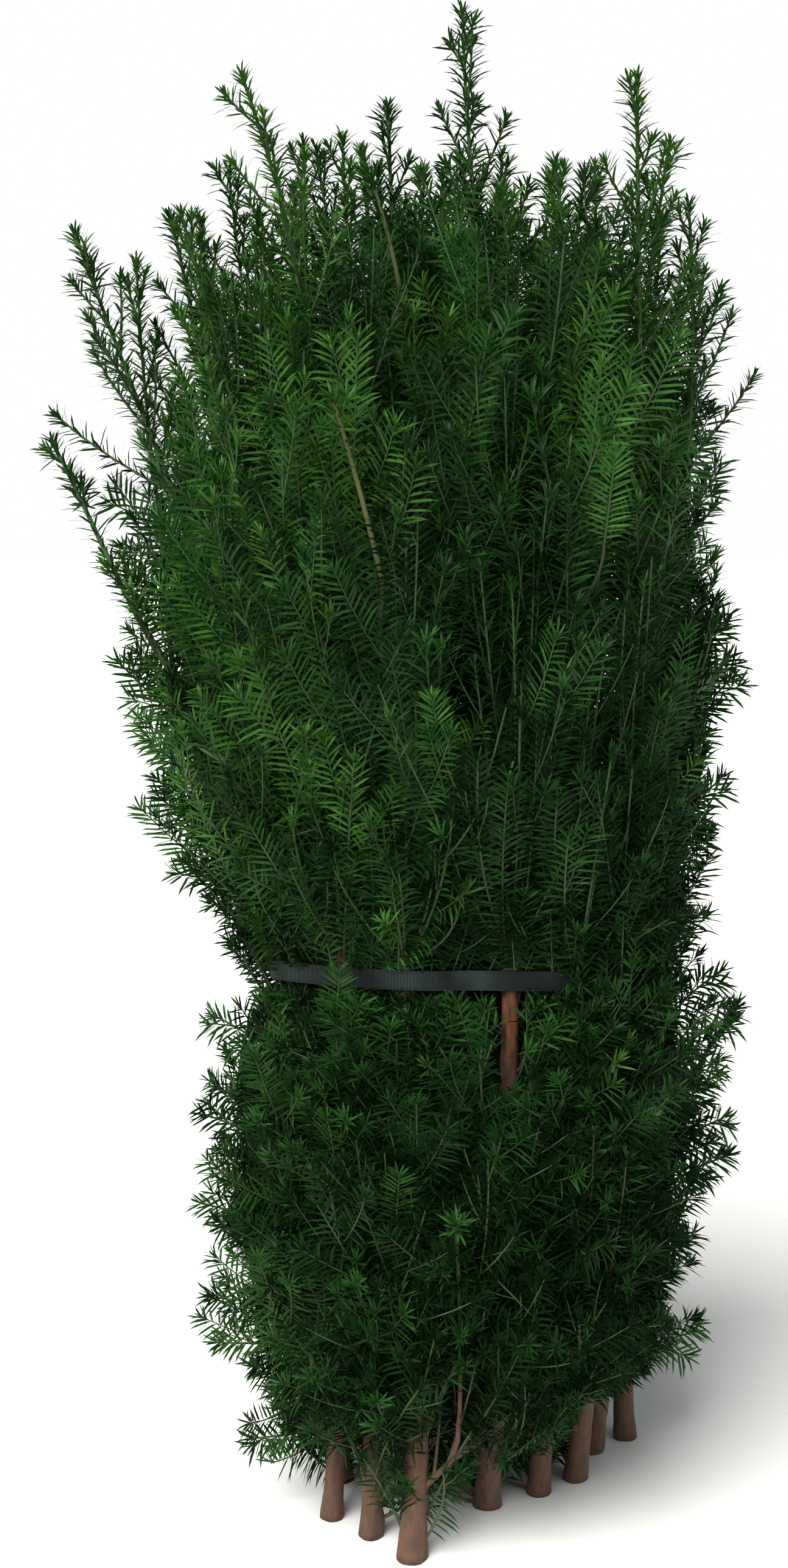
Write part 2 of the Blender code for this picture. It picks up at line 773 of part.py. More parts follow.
def make_strap(stems, material):
    """A flat band drawn taut round the stems: its line is the hull of their sections."""
    low, high = STRAP_HEIGHT - STRAP_WIDTH / 2, STRAP_HEIGHT + STRAP_WIDTH / 2
    corners = []
    for stem in stems.values():
        for z in (low, STRAP_HEIGHT, high):
            corners += [(p.x, p.y) for p in stem_outline_at(stem, z)]
    outline = hull(corners)
    inner = offset_outline(outline, STRAP_SLACK)
    outer = offset_outline(outline, STRAP_SLACK + STRAP_THICKNESS)
    points = []
    for i, o in zip(inner, outer):
        points += [(i.x, i.y, low), (o.x, o.y, low), (o.x, o.y, high), (i.x, i.y, high)]
    faces = []
    for k in range(len(outline)):
        here, after = 4 * k, 4 * ((k + 1) % len(outline))
        for a in range(4):
            b = (a + 1) % 4
            faces.append((here + a, after + a, after + b, here + b))
    origin = Vector((*WAIST_CENTRE, STRAP_HEIGHT))
    return make_object("tie_strap", points, faces, material, origin)


def side_sites():
    """The middle of each mass round the clump, tier by tier."""
    sites = {}
    for tier, z, count, first, share in TIERS:
        centre, width, depth = crown_section(z)
        for k in range(count):
            angle = math.radians(first + 360 * k / count)
            x, y = superellipse(angle, width * share, depth * share, CROWN_SQUARENESS)
            sites[f"foliage_{tier}_{k + 1}"] = Vector((centre + x, CROWN_MIDDLE_Y + y, z))
    return sites


def main():
    clear_scene()
    bark = make_material("yew_bark", (0.180, 0.095, 0.055), 0.85)
    needles = make_material("yew_needles", (0.020, 0.085, 0.020), 0.55)
    webbing = make_material("woven_webbing", (0.060, 0.070, 0.085), 0.80)

    stems = {stem.name: stem for stem in STEMS}
    boughs = [(bough, bough_path(bough, stems)) for bough in BOUGHS]
    limbs = Limbs(stems, boughs)
    pieces = []
    for stem in STEMS:
        foot = stem_axis(stem, 0.0)
        pieces.append(make_object(stem.name, *skin(stem_rings(stem)), bark, foot))
    for bough, path in boughs:
        rings = sweep(path, bough_radii(bough, len(path)), BOUGH_SIDES)
        pieces.append(make_object(bough.name, *skin(rings), bark, path[0]))
    for limb in pieces:
        limb.data.shade_smooth()
        limb.data.set_sharp_from_angle(angle=math.radians(60))
    pieces.append(make_strap(stems, webbing))

    tips = {}
    for stem in STEMS:
        top = stem.tip[2] - LEADER_LENGTH
        below, start = stem_axis(stem, top - 0.01), stem_axis(stem, top)
        along = (start - below).normalized()
        tips[f"leader_{stem.name}"] = (start + UP * JOINT_GAP, UP, along, Vector(stem.tip))
    for bough, path in boughs:
        along = (path[-1] - path[-2]).normalized()
        start = path[-1] + along * JOINT_GAP
        end = path[-1] + Vector(BOUGH_REACH[bough.name])
        tips[f"foliage_{bough.name}"] = (start, along, along, end)

    spines = {}
    for name, site in side_sites().items():
        spines[name] = (site - UP * SPINE_HALF, site + UP * SPINE_HALF)
    for name, (start, _, _, end) in tips.items():
        spines[name] = (start, end)
    for number, (name, spine) in enumerate(spines.items()):
        rng = random.Random(number + 1)
        planes = cell_planes(spine, [other for other in spines.values() if other is not spine])
        if name in tips:
            pieces.append(mass_on_tip(name, *tips[name], planes, limbs, needles, rng))
        else:
            middle = (spine[0] + spine[1]) / 2
            pieces.append(mass_on_stem(name, middle, planes, stems, limbs, needles, rng))

    clump = bpy.data.objects.new("yew_clump", None)
    bpy.context.scene.collection.objects.link(clump)
    for piece in pieces:
        piece.parent = clump


main()
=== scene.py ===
"""English yew: an upright clump of many stems, drawn in round its waist by a flat woven strap.

Lengths are metres, and tables of places are written in millimetres. +Z is up, the front of the
clump faces -Y, and the origin is the main stem's foot on the ground. The stems follow the axes
of the frame's own stems. Every shoot grows up to its tip from a bare twig, and the twig starts
from the limb nearest to it, so the foliage is carried all the way down to the ground.
"""

import math

import bpy
import numpy as np
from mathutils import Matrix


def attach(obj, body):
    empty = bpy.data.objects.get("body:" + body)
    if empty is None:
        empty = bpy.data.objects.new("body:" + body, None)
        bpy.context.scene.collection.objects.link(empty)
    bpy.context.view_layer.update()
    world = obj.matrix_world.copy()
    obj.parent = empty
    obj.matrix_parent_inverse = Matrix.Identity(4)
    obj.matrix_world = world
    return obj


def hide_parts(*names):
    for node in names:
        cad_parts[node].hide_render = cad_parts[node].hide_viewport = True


MM = 0.001
UP = np.array((0.0, 0.0, 1.0))
GOLDEN_ANGLE = math.radians(137.508)
RNG = np.random.default_rng(1870)

# The photograph's viewing angle
CAMERA_PLACE = (-0.121, -2.333, 1.3)
CAMERA_PITCH_DOWN = math.radians(8.6)
CAMERA_LENS_MM = 44.12
SENSOR_LONG_SIDE_MM = 36.0

# Crown outline at the clump's middle: height, left edge, right edge, half depth
CROWN = np.array((
    (0, -165, 190, 175),
    (50, -205, 205, 205),
    (120, -262, 225, 225),
    (220, -308, 232, 238),
    (320, -336, 236, 240),
    (500, -334, 248, 240),
    (600, -315, 246, 234),
    (660, -300, 236, 222),
    (700, -266, 220, 206),
    (730, -250, 212, 192),
    (770, -285, 230, 216),
    (850, -340, 252, 246),
    (950, -388, 270, 260),
    (1100, -418, 284, 270),
    (1200, -418, 272, 272),
    (1300, -404, 246, 274),
    (1500, -392, 218, 268),
    (1600, -380, 210, 255),
    (1900, -365, 200, 245),
)) / 1000
# Where the row of feet leaves the ground bare in front of it: its corner, its slope, how far
# forward foliage may come by the metre of height, and the height that this starts from
GROUND_CORNER = (-0.099, -0.158)
GROUND_SLOPE = 0.92
GROUND_RISE = 0.94
GROUND_GAP = 0.01
# Needles and shoots stay this far above the ground
GROUND_CLEARANCE = 1 * MM
CROWN_MIDDLE_Y = 0.045
CROWN_SQUARENESS = 2.5
# Its width against its depth, for tips spread evenly round it
RIM_WIDTH = 1.62
# The lowest and the highest tip, and how far in from the outline the outer ones reach
TIP_SPAN = (0.045, 1.74)
SHELL_DEPTH = 0.20
# Above this height, this share of the tips fills the inside as densely as the rim
OPEN_TOP_FROM = 1.36
OPEN_TOP_SHARE = 0.62
# The root of x**5 = x + 1: its powers spread four numbers without clumps
EVEN_SPREAD_BASE = 1.1673039782614187
# How high the even mass of shoots reaches: place across the clump, height
CROWN_TOP = np.array((
    (-460, 1440), (-380, 1520), (-280, 1580), (-150, 1630),
    (0, 1660), (80, 1600), (180, 1580), (260, 1480),
)) / 1000

# The bough that starts low in front of the stems
LOW_FORK = "bough_fork"
# A bough's line starts this much lower, in its stem; its radii at foot and tip
BOUGH_START_DROP = 0.035
BOUGH_RADII_MM = (4.6, 2.2)
# Ridges of the bark: how many round the limb, how long each is, how strong
BARK_WAVES = ((2, 0.31, 0.8), (3, 0.17, 0.7), (5, 0.075, 0.5), (4, 0.041, 0.45), (7, 0.023, 0.4))
# Knots: how far apart, how long, how wide as a share of the way round, how far they swell
KNOT_SPACING = 0.07
KNOT_LENGTH = 0.009
KNOT_WIDTH = 0.28
KNOT_SWELL = (0.10, 0.30)
# How wide the scales of the bark and its flakes are, and their width as a share of their length
BARK_SCALE_MM = 6.67
BARK_FLAKE_MM = 26.3
BARK_SLIMNESS = 0.28
# The under side of the bough that leans out left: its end across and up, its slope, its start
LEFT_ARM_END = (-0.545, 1.362)
LEFT_ARM_SLOPE = 0.5
LEFT_ARM_FROM = 1.15

# Tip of each stem's leading shoot, and of each bough's, in millimetres
LEADER_TIPS = {
    "main_stem": (-40, 40, 1860),
    "stem_front_left": (-495, -10, 1600),
    "stem_front": (-362, -85, 1612),
    "stem_near_corner": (-286, -155, 1748),
    "stem_front_right": (55, -150, 1660),
    "stem_right_corner": (150, -100, 1756),
    "stem_right": (230, 35, 1640),
    "stem_far_right": (270, 160, 1576),
    "stem_back_right": (140, 255, 1720),
    "stem_back": (-160, 275, 1742),
    "stem_back_left": (-235, 170, 1734),
    "stem_left": (-394, 100, 1632),
    "bough_fork": (-50, -215, 470),
    "bough_low_right": (318, 55, 655),
    "bough_left_arm": (-528, -10, 1362),
    "bough_centre_leader": (-128, 35, 1752),
    "bough_right_arm": (280, 160, 1325),
}
# More tips that stand out: above the mass, and beyond its sides
STANDING_TIPS = np.array((
    (-323, 100, 1690), (-180, -60, 1700), (-141, 60, 1684),
    (-430, 40, 1575), (-86, -80, 1660), (190, -80, 1690),
    (107, 40, 1676), (61, -50, 1664), (205, 80, 1630),
    (-345, -40, 1612), (-250, 230, 1690), (20, 240, 1680),
    (-214, 40, 1705), (5, 0, 1690), (-60, 200, 1700),
)) / 1000
SIDE_TIPS = np.array((
    (262, 100, 1412), (286, 100, 1328), (280, 60, 1140), (276, 80, 1002),
    (296, 80, 945), (272, 80, 874), (262, 100, 740),
    (-457, 0, 1098), (-452, 20, 1235), (-455, 0, 1310), (-412, 10, 930),
    (-385, 10, 850), (-330, 30, 745), (-350, 20, 650),
    (-363, 0, 527), (-367, 10, 405), (-357, 0, 283), (-350, 0, 222),
    (-308, -10, 95), (292, 150, 169), (312, 50, 455), (296, 45, 585),
    (272, 50, 425), (304, 50, 505), (290, 30, 480), (308, 50, 640),
    (296, 60, 695), (306, 90, 1070), (300, 70, 1100), (286, 60, 545),
)) / 1000
# Bare shoots in plain view: foot, tip; and how stout each is against a usual shoot
BARE_SHOOTS = np.array((
    ((-134, -205, 1205), (-186, -262, 1400)), ((-115, -120, 1530), (-148, -140, 1650)),
    ((108, -110, 360), (113, -172, 560)),
    ((140, -90, 330), (154, -152, 520)),
)) / 1000
BARE_SHOOT_GIRTHS = (2.2, 1.8, 1.25, 1.2)
# They bear needles from this share of their length on
BARE_SHOOT_SHARE = 0.58
# How high each foot in plain view shows between the needles
SEEN_FEET = {
    "stem_front_left": 0.085, "stem_front": 0.035, "stem_near_corner": 0.06, "main_stem": 0.038,
    "stem_front_right": 0.05, "stem_right_corner": 0.045, "stem_right": 0.075, "stem_far_right": 0.05,
}
SEEN_FOOT_HALF_WIDTH = 0.0145
# The lengths of the low fork that show, and how far beside it stays clear
SEEN_FORK = (0.1, 0.235)
SEEN_FORK_HALF_WIDTH = 0.008
# Young bright shoots: foot, tip
BRIGHT_SHOOTS = np.array((
    ((-58, -180, 965), (-80, -230, 1078)), ((112, -190, 1250), (118, -225, 1345)),
    ((-190, -120, 672), (-184, -165, 752)), ((88, -125, 555), (70, -176, 628)),
    ((-120, -150, 420), (-115, -200, 520)), ((-262, -110, 560), (-285, -155, 650)),
)) / 1000
BRIGHT_KINDS = (3, 3, 2, 2, 2, 2)
# The one of them that crosses the strap
CROSSING_SHOOT = 2

# Shoots that cover the strap's two ends: foot, tip
END_SHOOTS = np.array((
    ((112, -100, 625), (98, -150, 738)), ((135, -90, 640), (128, -142, 765)),
    ((160, -75, 630), (160, -125, 752)), ((180, -50, 650), (186, -98, 785)),
    ((195, -20, 640), (212, -62, 768)), ((185, -50, 600), (205, -85, 705)),
    ((145, -85, 690), (142, -142, 822)), ((200, 10, 660), (232, -30, 790)),
    ((-250, -50, 640), (-278, -88, 742)), ((-245, -20, 650), (-300, -50, 765)),
    ((-255, 20, 640), (-318, 0, 745)), ((-235, -60, 700), (-262, -105, 822)),
    ((-250, -30, 720), (-310, -55, 845)), ((105, -105, 760), (110, -165, 880)),
)) / 1000

# Rows of shoots close under and over the strap, between these places across. Each row: the
# heights of its feet, how far they are set back, and how long its shoots are
STRAP_ROW_COUNT = 34
STRAP_ROW_SPAN = (-0.27, 0.21)
STRAP_ROWS = (
    ((0.575, 0.64), -0.004, (0.07, 0.11)), ((0.655, 0.672), -0.004, (0.036, 0.046)),
    ((0.722, 0.729), 0.009, (0.09, 0.14)),
)
# Where the shoots up the front of each stem start, over and under the strap
CUFF_HEIGHTS = (0.746, 0.664)

# Branches and their side shoots
BRANCH_COUNT = 1900
INNER_SHARE = 0.25
# The mass below the strap ends at this height
LOW_PART_TOP = 0.72
# By height: how far branches stray sideways, how long they are, and how steeply they rise
BRANCH_STRAY = ((0.35, 0.33), (0.8, 0.17), (1.4, 0.11))
BRANCH_LENGTH = ((0.03, 0.15), (0.3, 0.22), (0.72, 0.24), (0.85, 0.28), (1.15, 0.34))
BRANCH_RISE = ((0.03, 0.25), (0.12, 0.95), (0.35, 1.8), (0.66, 2.2), (0.8, 2.3), (1.1, 2.9), (1.4, 3.6))
# The same for the shoots that reach out beyond the sides
REACHING_RISE = ((0.1, 0.0), (0.6, 0.5), (1.3, 1.3))
# Painted light and shade: how much brighter the greens are made, by place across and by height,
# lighter to the upper left and the top, darker low down and to the right
PAINTED_LIGHT_ACROSS = ((-0.45, 0.28), (-0.25, 0.14), (-0.05, -0.07), (0.15, -0.15))
PAINTED_LIGHT_UP = ((0.8, -0.1), (1.05, 0.02), (1.3, 0.04), (1.55, 0.34))
# The share of upper branches with few side shoots
PLUME_SHARE = 0.66
# Side shoots: the shortest and the longest, how they differ in length, and how far they lean in
# degrees by share of the branch
SIDE_LENGTHS = (0.024, 0.17)
SIDE_LENGTH_SCATTER = (0.72, 1.15)
SIDE_LEAN = ((0.3, 46), (0.95, 30))
# The share of them that are one kind of green brighter than their branch
SIDE_BRIGHTER = 0.10
# How much closer branches stand at some heights: height, times
CROWDING = ((0.03, 1.1), (0.52, 1.15), (0.6, 1.8), (0.73, 2.0), (0.82, 1.35), (0.95, 1.0))
# From this share of its length on, a twig is green
GREEN_FROM = 0.28
SHOOT_SIDES = 3
SHOOT_TWIG_RADIUS = 1.5 * MM
SHOOT_TIP_RADIUS = 1.0 * MM
LEADER_RADIUS = 3.1 * MM
BOUGH_COVER_RADIUS = 4.2 * MM
# Short shoots that clothe each stem: how far apart, and the heights they stand between
CLOTHING_STEP = 0.03
CLOTHING_SPAN = (0.085, 1.6)
# By height: how steeply they rise, how long they are against the usual
CLOTHING_RISE = ((0.1, 1.0), (0.7, 2.0), (1.3, 2.2))
CLOTHING_LENGTH = ((1.05, 1.0), (1.35, 0.5))
# How many places along a shoot are tested
TEST_STEPS = 31

# Needles: a rank has one every NEEDLE_STEP
NEEDLE_LENGTH = 34 * MM
NEEDLE_WIDTH = 3.7 * MM
NEEDLE_STEP = 8.3 * MM
# How many needles close round a tip, and the length of shoot that bears them
TUFT_NEEDLES = 13
TUFT_LENGTH = 15 * MM
# By share of the shoot: how far needles lean from it in degrees, and how long they are
NEEDLE_LEAN = ((0, 62), (0.5, 52), (0.85, 40), (1.0, 27))
NEEDLE_PROFILE = ((0, 0.6), (0.15, 0.92), (0.55, 1.0), (0.85, 0.92), (1.0, 0.7))
# How needles differ: in lean, in length, in twist, and in how far they rise out of a flat
# shoot's plane, which is an average and its scatter
NEEDLE_LEAN_SCATTER = 4.5
NEEDLE_LENGTH_SCATTER = (0.84, 1.06)
NEEDLE_TWIST = 0.20
NEEDLE_LIFT = (0.14, 0.13)
# In a tuft: how far they lean at its tip, how much more at its foot, and how long they are
TUFT_LEAN = 12
TUFT_OPENING_ROUND = 46
TUFT_OPENING_FLAT = 30
TUFT_NEEDLE_SIZES = (0.58, 0.88)
# Outlines: shares of the length and of the width for each corner, and the triangles. The
# blade has a point at each end and four corners, the kite is widest at its middle
NEEDLE_BLADE = ((0.0, 0.24, 0.24, 0.74, 0.74, 1.0), (0.0, -0.5, 0.5, -0.44, 0.44, 0.0),
                ((0, 2, 1), (1, 2, 4), (1, 4, 3), (3, 4, 5)))
NEEDLE_KITE = ((0.0, 0.5, 0.5, 1.0), (0.0, -0.62, 0.62, 0.0), ((0, 2, 1), (1, 2, 3)))
PIECE_TRIANGLES = 190000
# How wide the paler places in the green are: a few needles
NEEDLE_PATCH_MM = 29.4
# How far needles may reach out over the bare ground, past the shoots that bear them
NEEDLE_OVERHANG = 0.022
# Needles whose foot lies within this share of the crown, and below this height, are plainer,
# and the branches that end within the second share are in its shade
PLAIN_INSIDE = 0.8
PLAIN_BELOW = 1.45
DEEP_INSIDE = 0.72

# The opening in the foliage below the strap, where a stem shows: x and z from and to
STEM_WINDOW = (0.004, 0.03, 0.606, 0.706)
# The share of needles in front of it that stay
WINDOW_NEEDLES = 0.10
# The front of the stems at the strap, and of what may hide that opening
STEM_FRONT_Y = -0.115
WINDOW_FRONT_Y = -0.105
# The line of sight to the stems at the strap: its length, and how much it falls by the metre
SIGHT_LENGTH = 2.2
SIGHT_SLOPE = 0.26

FLOOR_HALF_WIDTH = 40.0

# Strap
STRAP_HEIGHT = 0.73
STRAP_HALF_WIDTH = 12.5 * MM
# The strap's own front: place across, place forward
STRAP_FRONT = np.array((
    (-282, -45), (-254, -66), (-186, -102), (-107, -120),
    (30, -121), (86, -116), (158, -84), (200, -30),
)) / 1000
# Between these places across, the strap is free of needles in front
STRAP_SEEN = (-0.28, 0.08)
# How far needles may lie over the strap's edges
STRAP_OVERLAP = -4.0 * MM
# Beyond this place across, the loop stands off the stems by this share of the way further
STRAP_SLACK_FROM = -0.165
STRAP_SLACK = 0.33
STRAP_THICKNESS = 1.7 * MM
STRAP_COLUMNS = 420
# How many columns to each side its outline is smoothed over
STRAP_SMOOTHING = 6
# How it waves up and down on its way round: number of waves, height in millimetres, phase
STRAP_WAVES = ((3, 0.8, 1.0), (7, 0.6, 0.0))
STRAP_RIBS = 9
STRAP_RIB_RELIEF = 0.25 * MM
# The weave: how far apart its ribs and its rows are
WEBBING_RIB_MM = 3.8
WEBBING_ROW_MM = 2.7
# How wide its worn places are, and where along it the painted light on its left end, which faces the key
# lamp, begins and is full
WEBBING_WEAR_MM = 91
WEBBING_LIT_END_MM = (-350.0, -270.0)


def linear(colour):
    """An sRGB hex colour as linear red, green, blue and alpha."""
    parts = [int(colour[k:k + 2], 16) / 255 for k in (1, 3, 5)]
    return tuple(c / 12.92 if c <= 0.04045 else ((c + 0.055) / 1.055) ** 2.4 for c in parts) + (1.0,)


def add_node(tree, kind, settings=None, inputs=None):
    """Adds a node with its settings and its inputs.

    An input is a value, a hex colour, another node's output, or a node, for its first output.
    """
    made = tree.nodes.new(kind)
    for name, value in (settings or {}).items():
        setattr(made, name, value)
    for name, value in (inputs or {}).items():
        if isinstance(value, bpy.types.Node):
            value = value.outputs[0]
        if isinstance(value, bpy.types.NodeSocket):
            tree.links.new(value, made.inputs[name])
        else:
            made.inputs[name].default_value = linear(value) if isinstance(value, str) else value
    return made


def new_material(name):
    """An empty node material, and its tree."""
    material = bpy.data.materials.new(name)
    material.use_nodes = True
    material.node_tree.nodes.clear()
    return material, material.node_tree


def needle_material(name, colour, light_colour, gloss):
    """Waxy living needle: a leathery green with a soft gloss, a little paler here and there."""
    material, tree = new_material(name)
    place = add_node(tree, "ShaderNodeTexCoord").outputs["Object"]
    patches = add_node(tree, "ShaderNodeTexNoise", None,
                       {"Vector": place, "Scale": 1000 / NEEDLE_PATCH_MM, "Detail": 2.0})
    pale = add_node(tree, "ShaderNodeMapRange", None,
                    {"Value": patches, "From Min": 0.35, "From Max": 0.68})
    tint = add_node(tree, "ShaderNodeMix", {"data_type": "RGBA"},
                    {"Factor": pale, 6: colour, 7: light_colour})
    shader = add_node(tree, "ShaderNodeBsdfPrincipled", None,
                      {"Base Color": tint.outputs[2], "Roughness": 0.52, "IOR": 1.45,
                       "Specular IOR Level": gloss})
    add_node(tree, "ShaderNodeOutputMaterial", None, {"Surface": shader})
    return material


def bark_material(name, deep, pale, flake, young, relief):
    """Yew bark: thin reddish scales over a paler layer, stretched along the stem, quite matt.

    Towards the foot, where rain and soil reach it, it has weathered to the colour of its flakes,
    and in the upper half of the clump it has its young colour.
    """
    material, tree = new_material(name)
    place = add_node(tree, "ShaderNodeTexCoord").outputs["Object"]
    height = add_node(tree, "ShaderNodeSeparateXYZ", None, {0: place}).outputs["Z"]
    stretched = add_node(tree, "ShaderNodeMapping", None,
                         {"Vector": place, "Scale": (1.0, 1.0, BARK_SLIMNESS)})
    scales, flakes = (
        add_node(tree, "ShaderNodeTexNoise", None,
                 {"Vector": stretched, "Scale": 1000 / width_mm, "Detail": detail, "Roughness": rough})
        for width_mm, detail, rough in ((BARK_SCALE_MM, 6.0, 0.62), (BARK_FLAKE_MM, 3.0, 0.5)))
    grain, flaked, low_down, high_up = (
        add_node(tree, "ShaderNodeMapRange", None,
                 {"Value": value, "From Min": start, "From Max": stop, "To Min": low, "To Max": high})
        for value, start, stop, low, high in (
            (scales, 0.36, 0.64, 0.0, 1.0), (flakes, 0.50, 0.66, 0.0, 1.0),
            (height, 0.20, 0.50, 0.62, 0.0), (height, 0.74, 0.95, 0.0, 0.85)))
    weathered = add_node(tree, "ShaderNodeMath", {"operation": "MAXIMUM"}, {0: flaked, 1: low_down})
    tint = deep
    for share, colour in ((grain, pale), (weathered, flake), (high_up, young)):
        tint = add_node(tree, "ShaderNodeMix", {"data_type": "RGBA"},
                        {"Factor": share, 6: tint, 7: colour}).outputs[2]
    bump = add_node(tree, "ShaderNodeBump", None, {"Height": scales, "Strength": 0.7, "Distance": relief})
    shader = add_node(tree, "ShaderNodeBsdfPrincipled", None,
                      {"Base Color": tint, "Roughness": 0.86, "Normal": bump})
    add_node(tree, "ShaderNodeOutputMaterial", None, {"Surface": shader})
    return material


def webbing_material(name, dark, light):
    """Polypropylene webbing, woven flat: ribs across it, tied down in rows, and bleached in places
    by the weather. Its left end, which faces the key lamp, has painted light. Its map is in millimetres.
    """
    material, tree = new_material(name)
    place = add_node(tree, "ShaderNodeUVMap")
    run = add_node(tree, "ShaderNodeSeparateXYZ", None, {0: place}).outputs["X"]
    # A wave repeats once in pi / 10 of its scaled length
    ribs, rows = (
        add_node(tree, "ShaderNodeTexWave", {"wave_type": "BANDS", "bands_direction": direction},
                 {"Vector": place, "Scale": 2 * math.pi / (20 * width_mm), "Distortion": bend,
                  "Detail": 2.0, "Detail Scale": fineness}).outputs["Fac"]
        for direction, width_mm, bend, fineness in (
            ("X", WEBBING_RIB_MM, 0.8, 2.0), ("Y", WEBBING_ROW_MM, 0.6, 1.0)))
    wear = add_node(tree, "ShaderNodeTexNoise", None,
                    {"Vector": place, "Scale": 1 / WEBBING_WEAR_MM, "Detail": 2.0})
    knots = add_node(tree, "ShaderNodeMath", {"operation": "MULTIPLY"}, {0: ribs, 1: rows})
    # Painted light: the strap's front-left end, which faces the key lamp, is made lighter
    thread, worn, lit_end = (
        add_node(tree, "ShaderNodeMapRange", {"interpolation_type": kind},
                 {"Value": value, "From Min": start, "From Max": stop, "To Min": low, "To Max": high})
        for value, start, stop, low, high, kind in (
            (knots, 0.0, 1.0, 0.35, 1.0, "LINEAR"), (wear, 0.40, 0.60, 0.15, 1.3, "LINEAR"),
            (run, *WEBBING_LIT_END_MM, 1.0, 0.22, "SMOOTHSTEP")))
    worn_and_lit = add_node(tree, "ShaderNodeMath", {"operation": "MULTIPLY"}, {0: worn, 1: lit_end})
    shade = add_node(tree, "ShaderNodeMath", {"operation": "MULTIPLY", "use_clamp": True},
                     {0: thread, 1: worn_and_lit})
    tint = add_node(tree, "ShaderNodeMix", {"data_type": "RGBA"}, {"Factor": shade, 6: dark, 7: light})
    bump = add_node(tree, "ShaderNodeBump", None,
                    {"Height": knots, "Strength": 0.8, "Distance": 0.5 * MM})
    shader = add_node(tree, "ShaderNodeBsdfPrincipled", None,
                      {"Base Color": tint.outputs[2], "Roughness": 0.6, "Specular IOR Level": 0.2,
                       "Normal": bump})
    add_node(tree, "ShaderNodeOutputMaterial", None, {"Surface": shader})
    return material


def plain_material(name, colour, roughness):
    """A painted studio surface of one colour."""
    material, tree = new_material(name)
    shader = add_node(tree, "ShaderNodeBsdfPrincipled", None, {"Base Color": colour, "Roughness": roughness})
    add_node(tree, "ShaderNodeOutputMaterial", None, {"Surface": shader})
    return material


def unit(vectors):
    """Each vector divided by its length."""
    return vectors / np.maximum(np.linalg.norm(vectors, axis=-1, keepdims=True), 1e-9)


def by_table(table, where):
    """What a table of places and values gives at each place, on straight lines between its rows."""
    return np.interp(where, *np.transpose(table))


def numbered(counts):
    """For things in groups of these sizes: the group that each is in, and its rank there."""
    which = np.repeat(np.arange(len(counts)), counts)
    return which, np.arange(len(which)) - np.repeat(np.cumsum(counts) - counts, counts)


def add_object(name, data):
    """A new object in the scene, at the origin."""
    made = bpy.data.objects.new(name, data)
    bpy.context.scene.collection.objects.link(made)
    return made


def add_mesh(name, points, faces, material, uv=None, smooth=True):
    """Puts arrays of points and of triangles or quads into a mesh object at the origin."""
    corners = faces.shape[1]
    mesh = bpy.data.meshes.new(name)
    mesh.vertices.add(len(points))
    mesh.vertices.foreach_set("co", points.astype(np.float32).ravel())
    mesh.loops.add(faces.size)
    mesh.loops.foreach_set("vertex_index", faces.astype(np.int32).ravel())
    mesh.polygons.add(len(faces))
    mesh.polygons.foreach_set("loop_start", np.arange(0, faces.size, corners, dtype=np.int32))
    mesh.update(calc_edges=True)
    if uv is not None:
        layer = mesh.uv_layers.new(name="UVMap")
        layer.data.foreach_set("uv", uv[faces.ravel()].astype(np.float32).ravel())
    if smooth:
        mesh.shade_smooth()
    mesh.materials.append(material)
    return add_object(name, mesh)


def grid_faces(rows, columns, closed=False):
    """Quads over a grid whose columns close round on themselves, and its rows too if it is closed."""
    row, column = np.meshgrid(np.arange(rows if closed else rows - 1), np.arange(columns), indexing="ij")
    after = (column + 1) % columns
    low, high = row * columns, (row + 1) % rows * columns
    return np.stack((low + column, low + after, high + after, high + column), -1).reshape(-1, 4)


def crown_at(height):
    """Middle across, half width and half depth of the crown at each height."""
    left, right, depth = (np.interp(height, CROWN[:, 0], CROWN[:, k]) for k in (1, 2, 3))
    return (left + right) / 2, (right - left) / 2, depth


def crown_share(points):
    """How far out each point is, from 0 at the crown's middle to 1 on its outline.

    It is (x^n + y^n)^(1/n), with x and y as shares of the half width and half depth there.
    """
    middle, width, depth = crown_at(points[..., 2])
    x = np.abs(points[..., 0] - middle) / width
    y = np.abs(points[..., 1] - CROWN_MIDDLE_Y) / depth
    return (x**CROWN_SQUARENESS + y**CROWN_SQUARENESS) ** (1 / CROWN_SQUARENESS)


def outward_at(points):
    """The level direction that leads out of the crown at each point, square to an ellipse there."""
    middle, width, depth = crown_at(points[..., 2])
    across = (points[..., 0] - middle) / width**2
    along = (points[..., 1] - CROWN_MIDDLE_Y) / depth**2
    return unit(np.stack((across, along, np.zeros_like(across)), -1))


def node_points(name):
    """The corners of a frame node's mesh, each once, as rows."""
    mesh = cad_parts[name].data
    points = np.zeros(len(mesh.vertices) * 3)
    mesh.vertices.foreach_get("co", points)
    return np.unique(np.round(points.reshape(-1, 3), 5), axis=0)


def stem_line(name):
    """Ring centres and radii of a frame stem, from the ground up."""
    points = node_points(name)
    rings = [points[np.abs(points[:, 2] - height) < 2e-4] for height in np.unique(np.round(points[:, 2], 4))]
    radii = [np.linalg.norm(ring - ring.mean(0), axis=1).mean() for ring in rings]
    return np.array([ring.mean(0) for ring in rings]), np.array(radii)


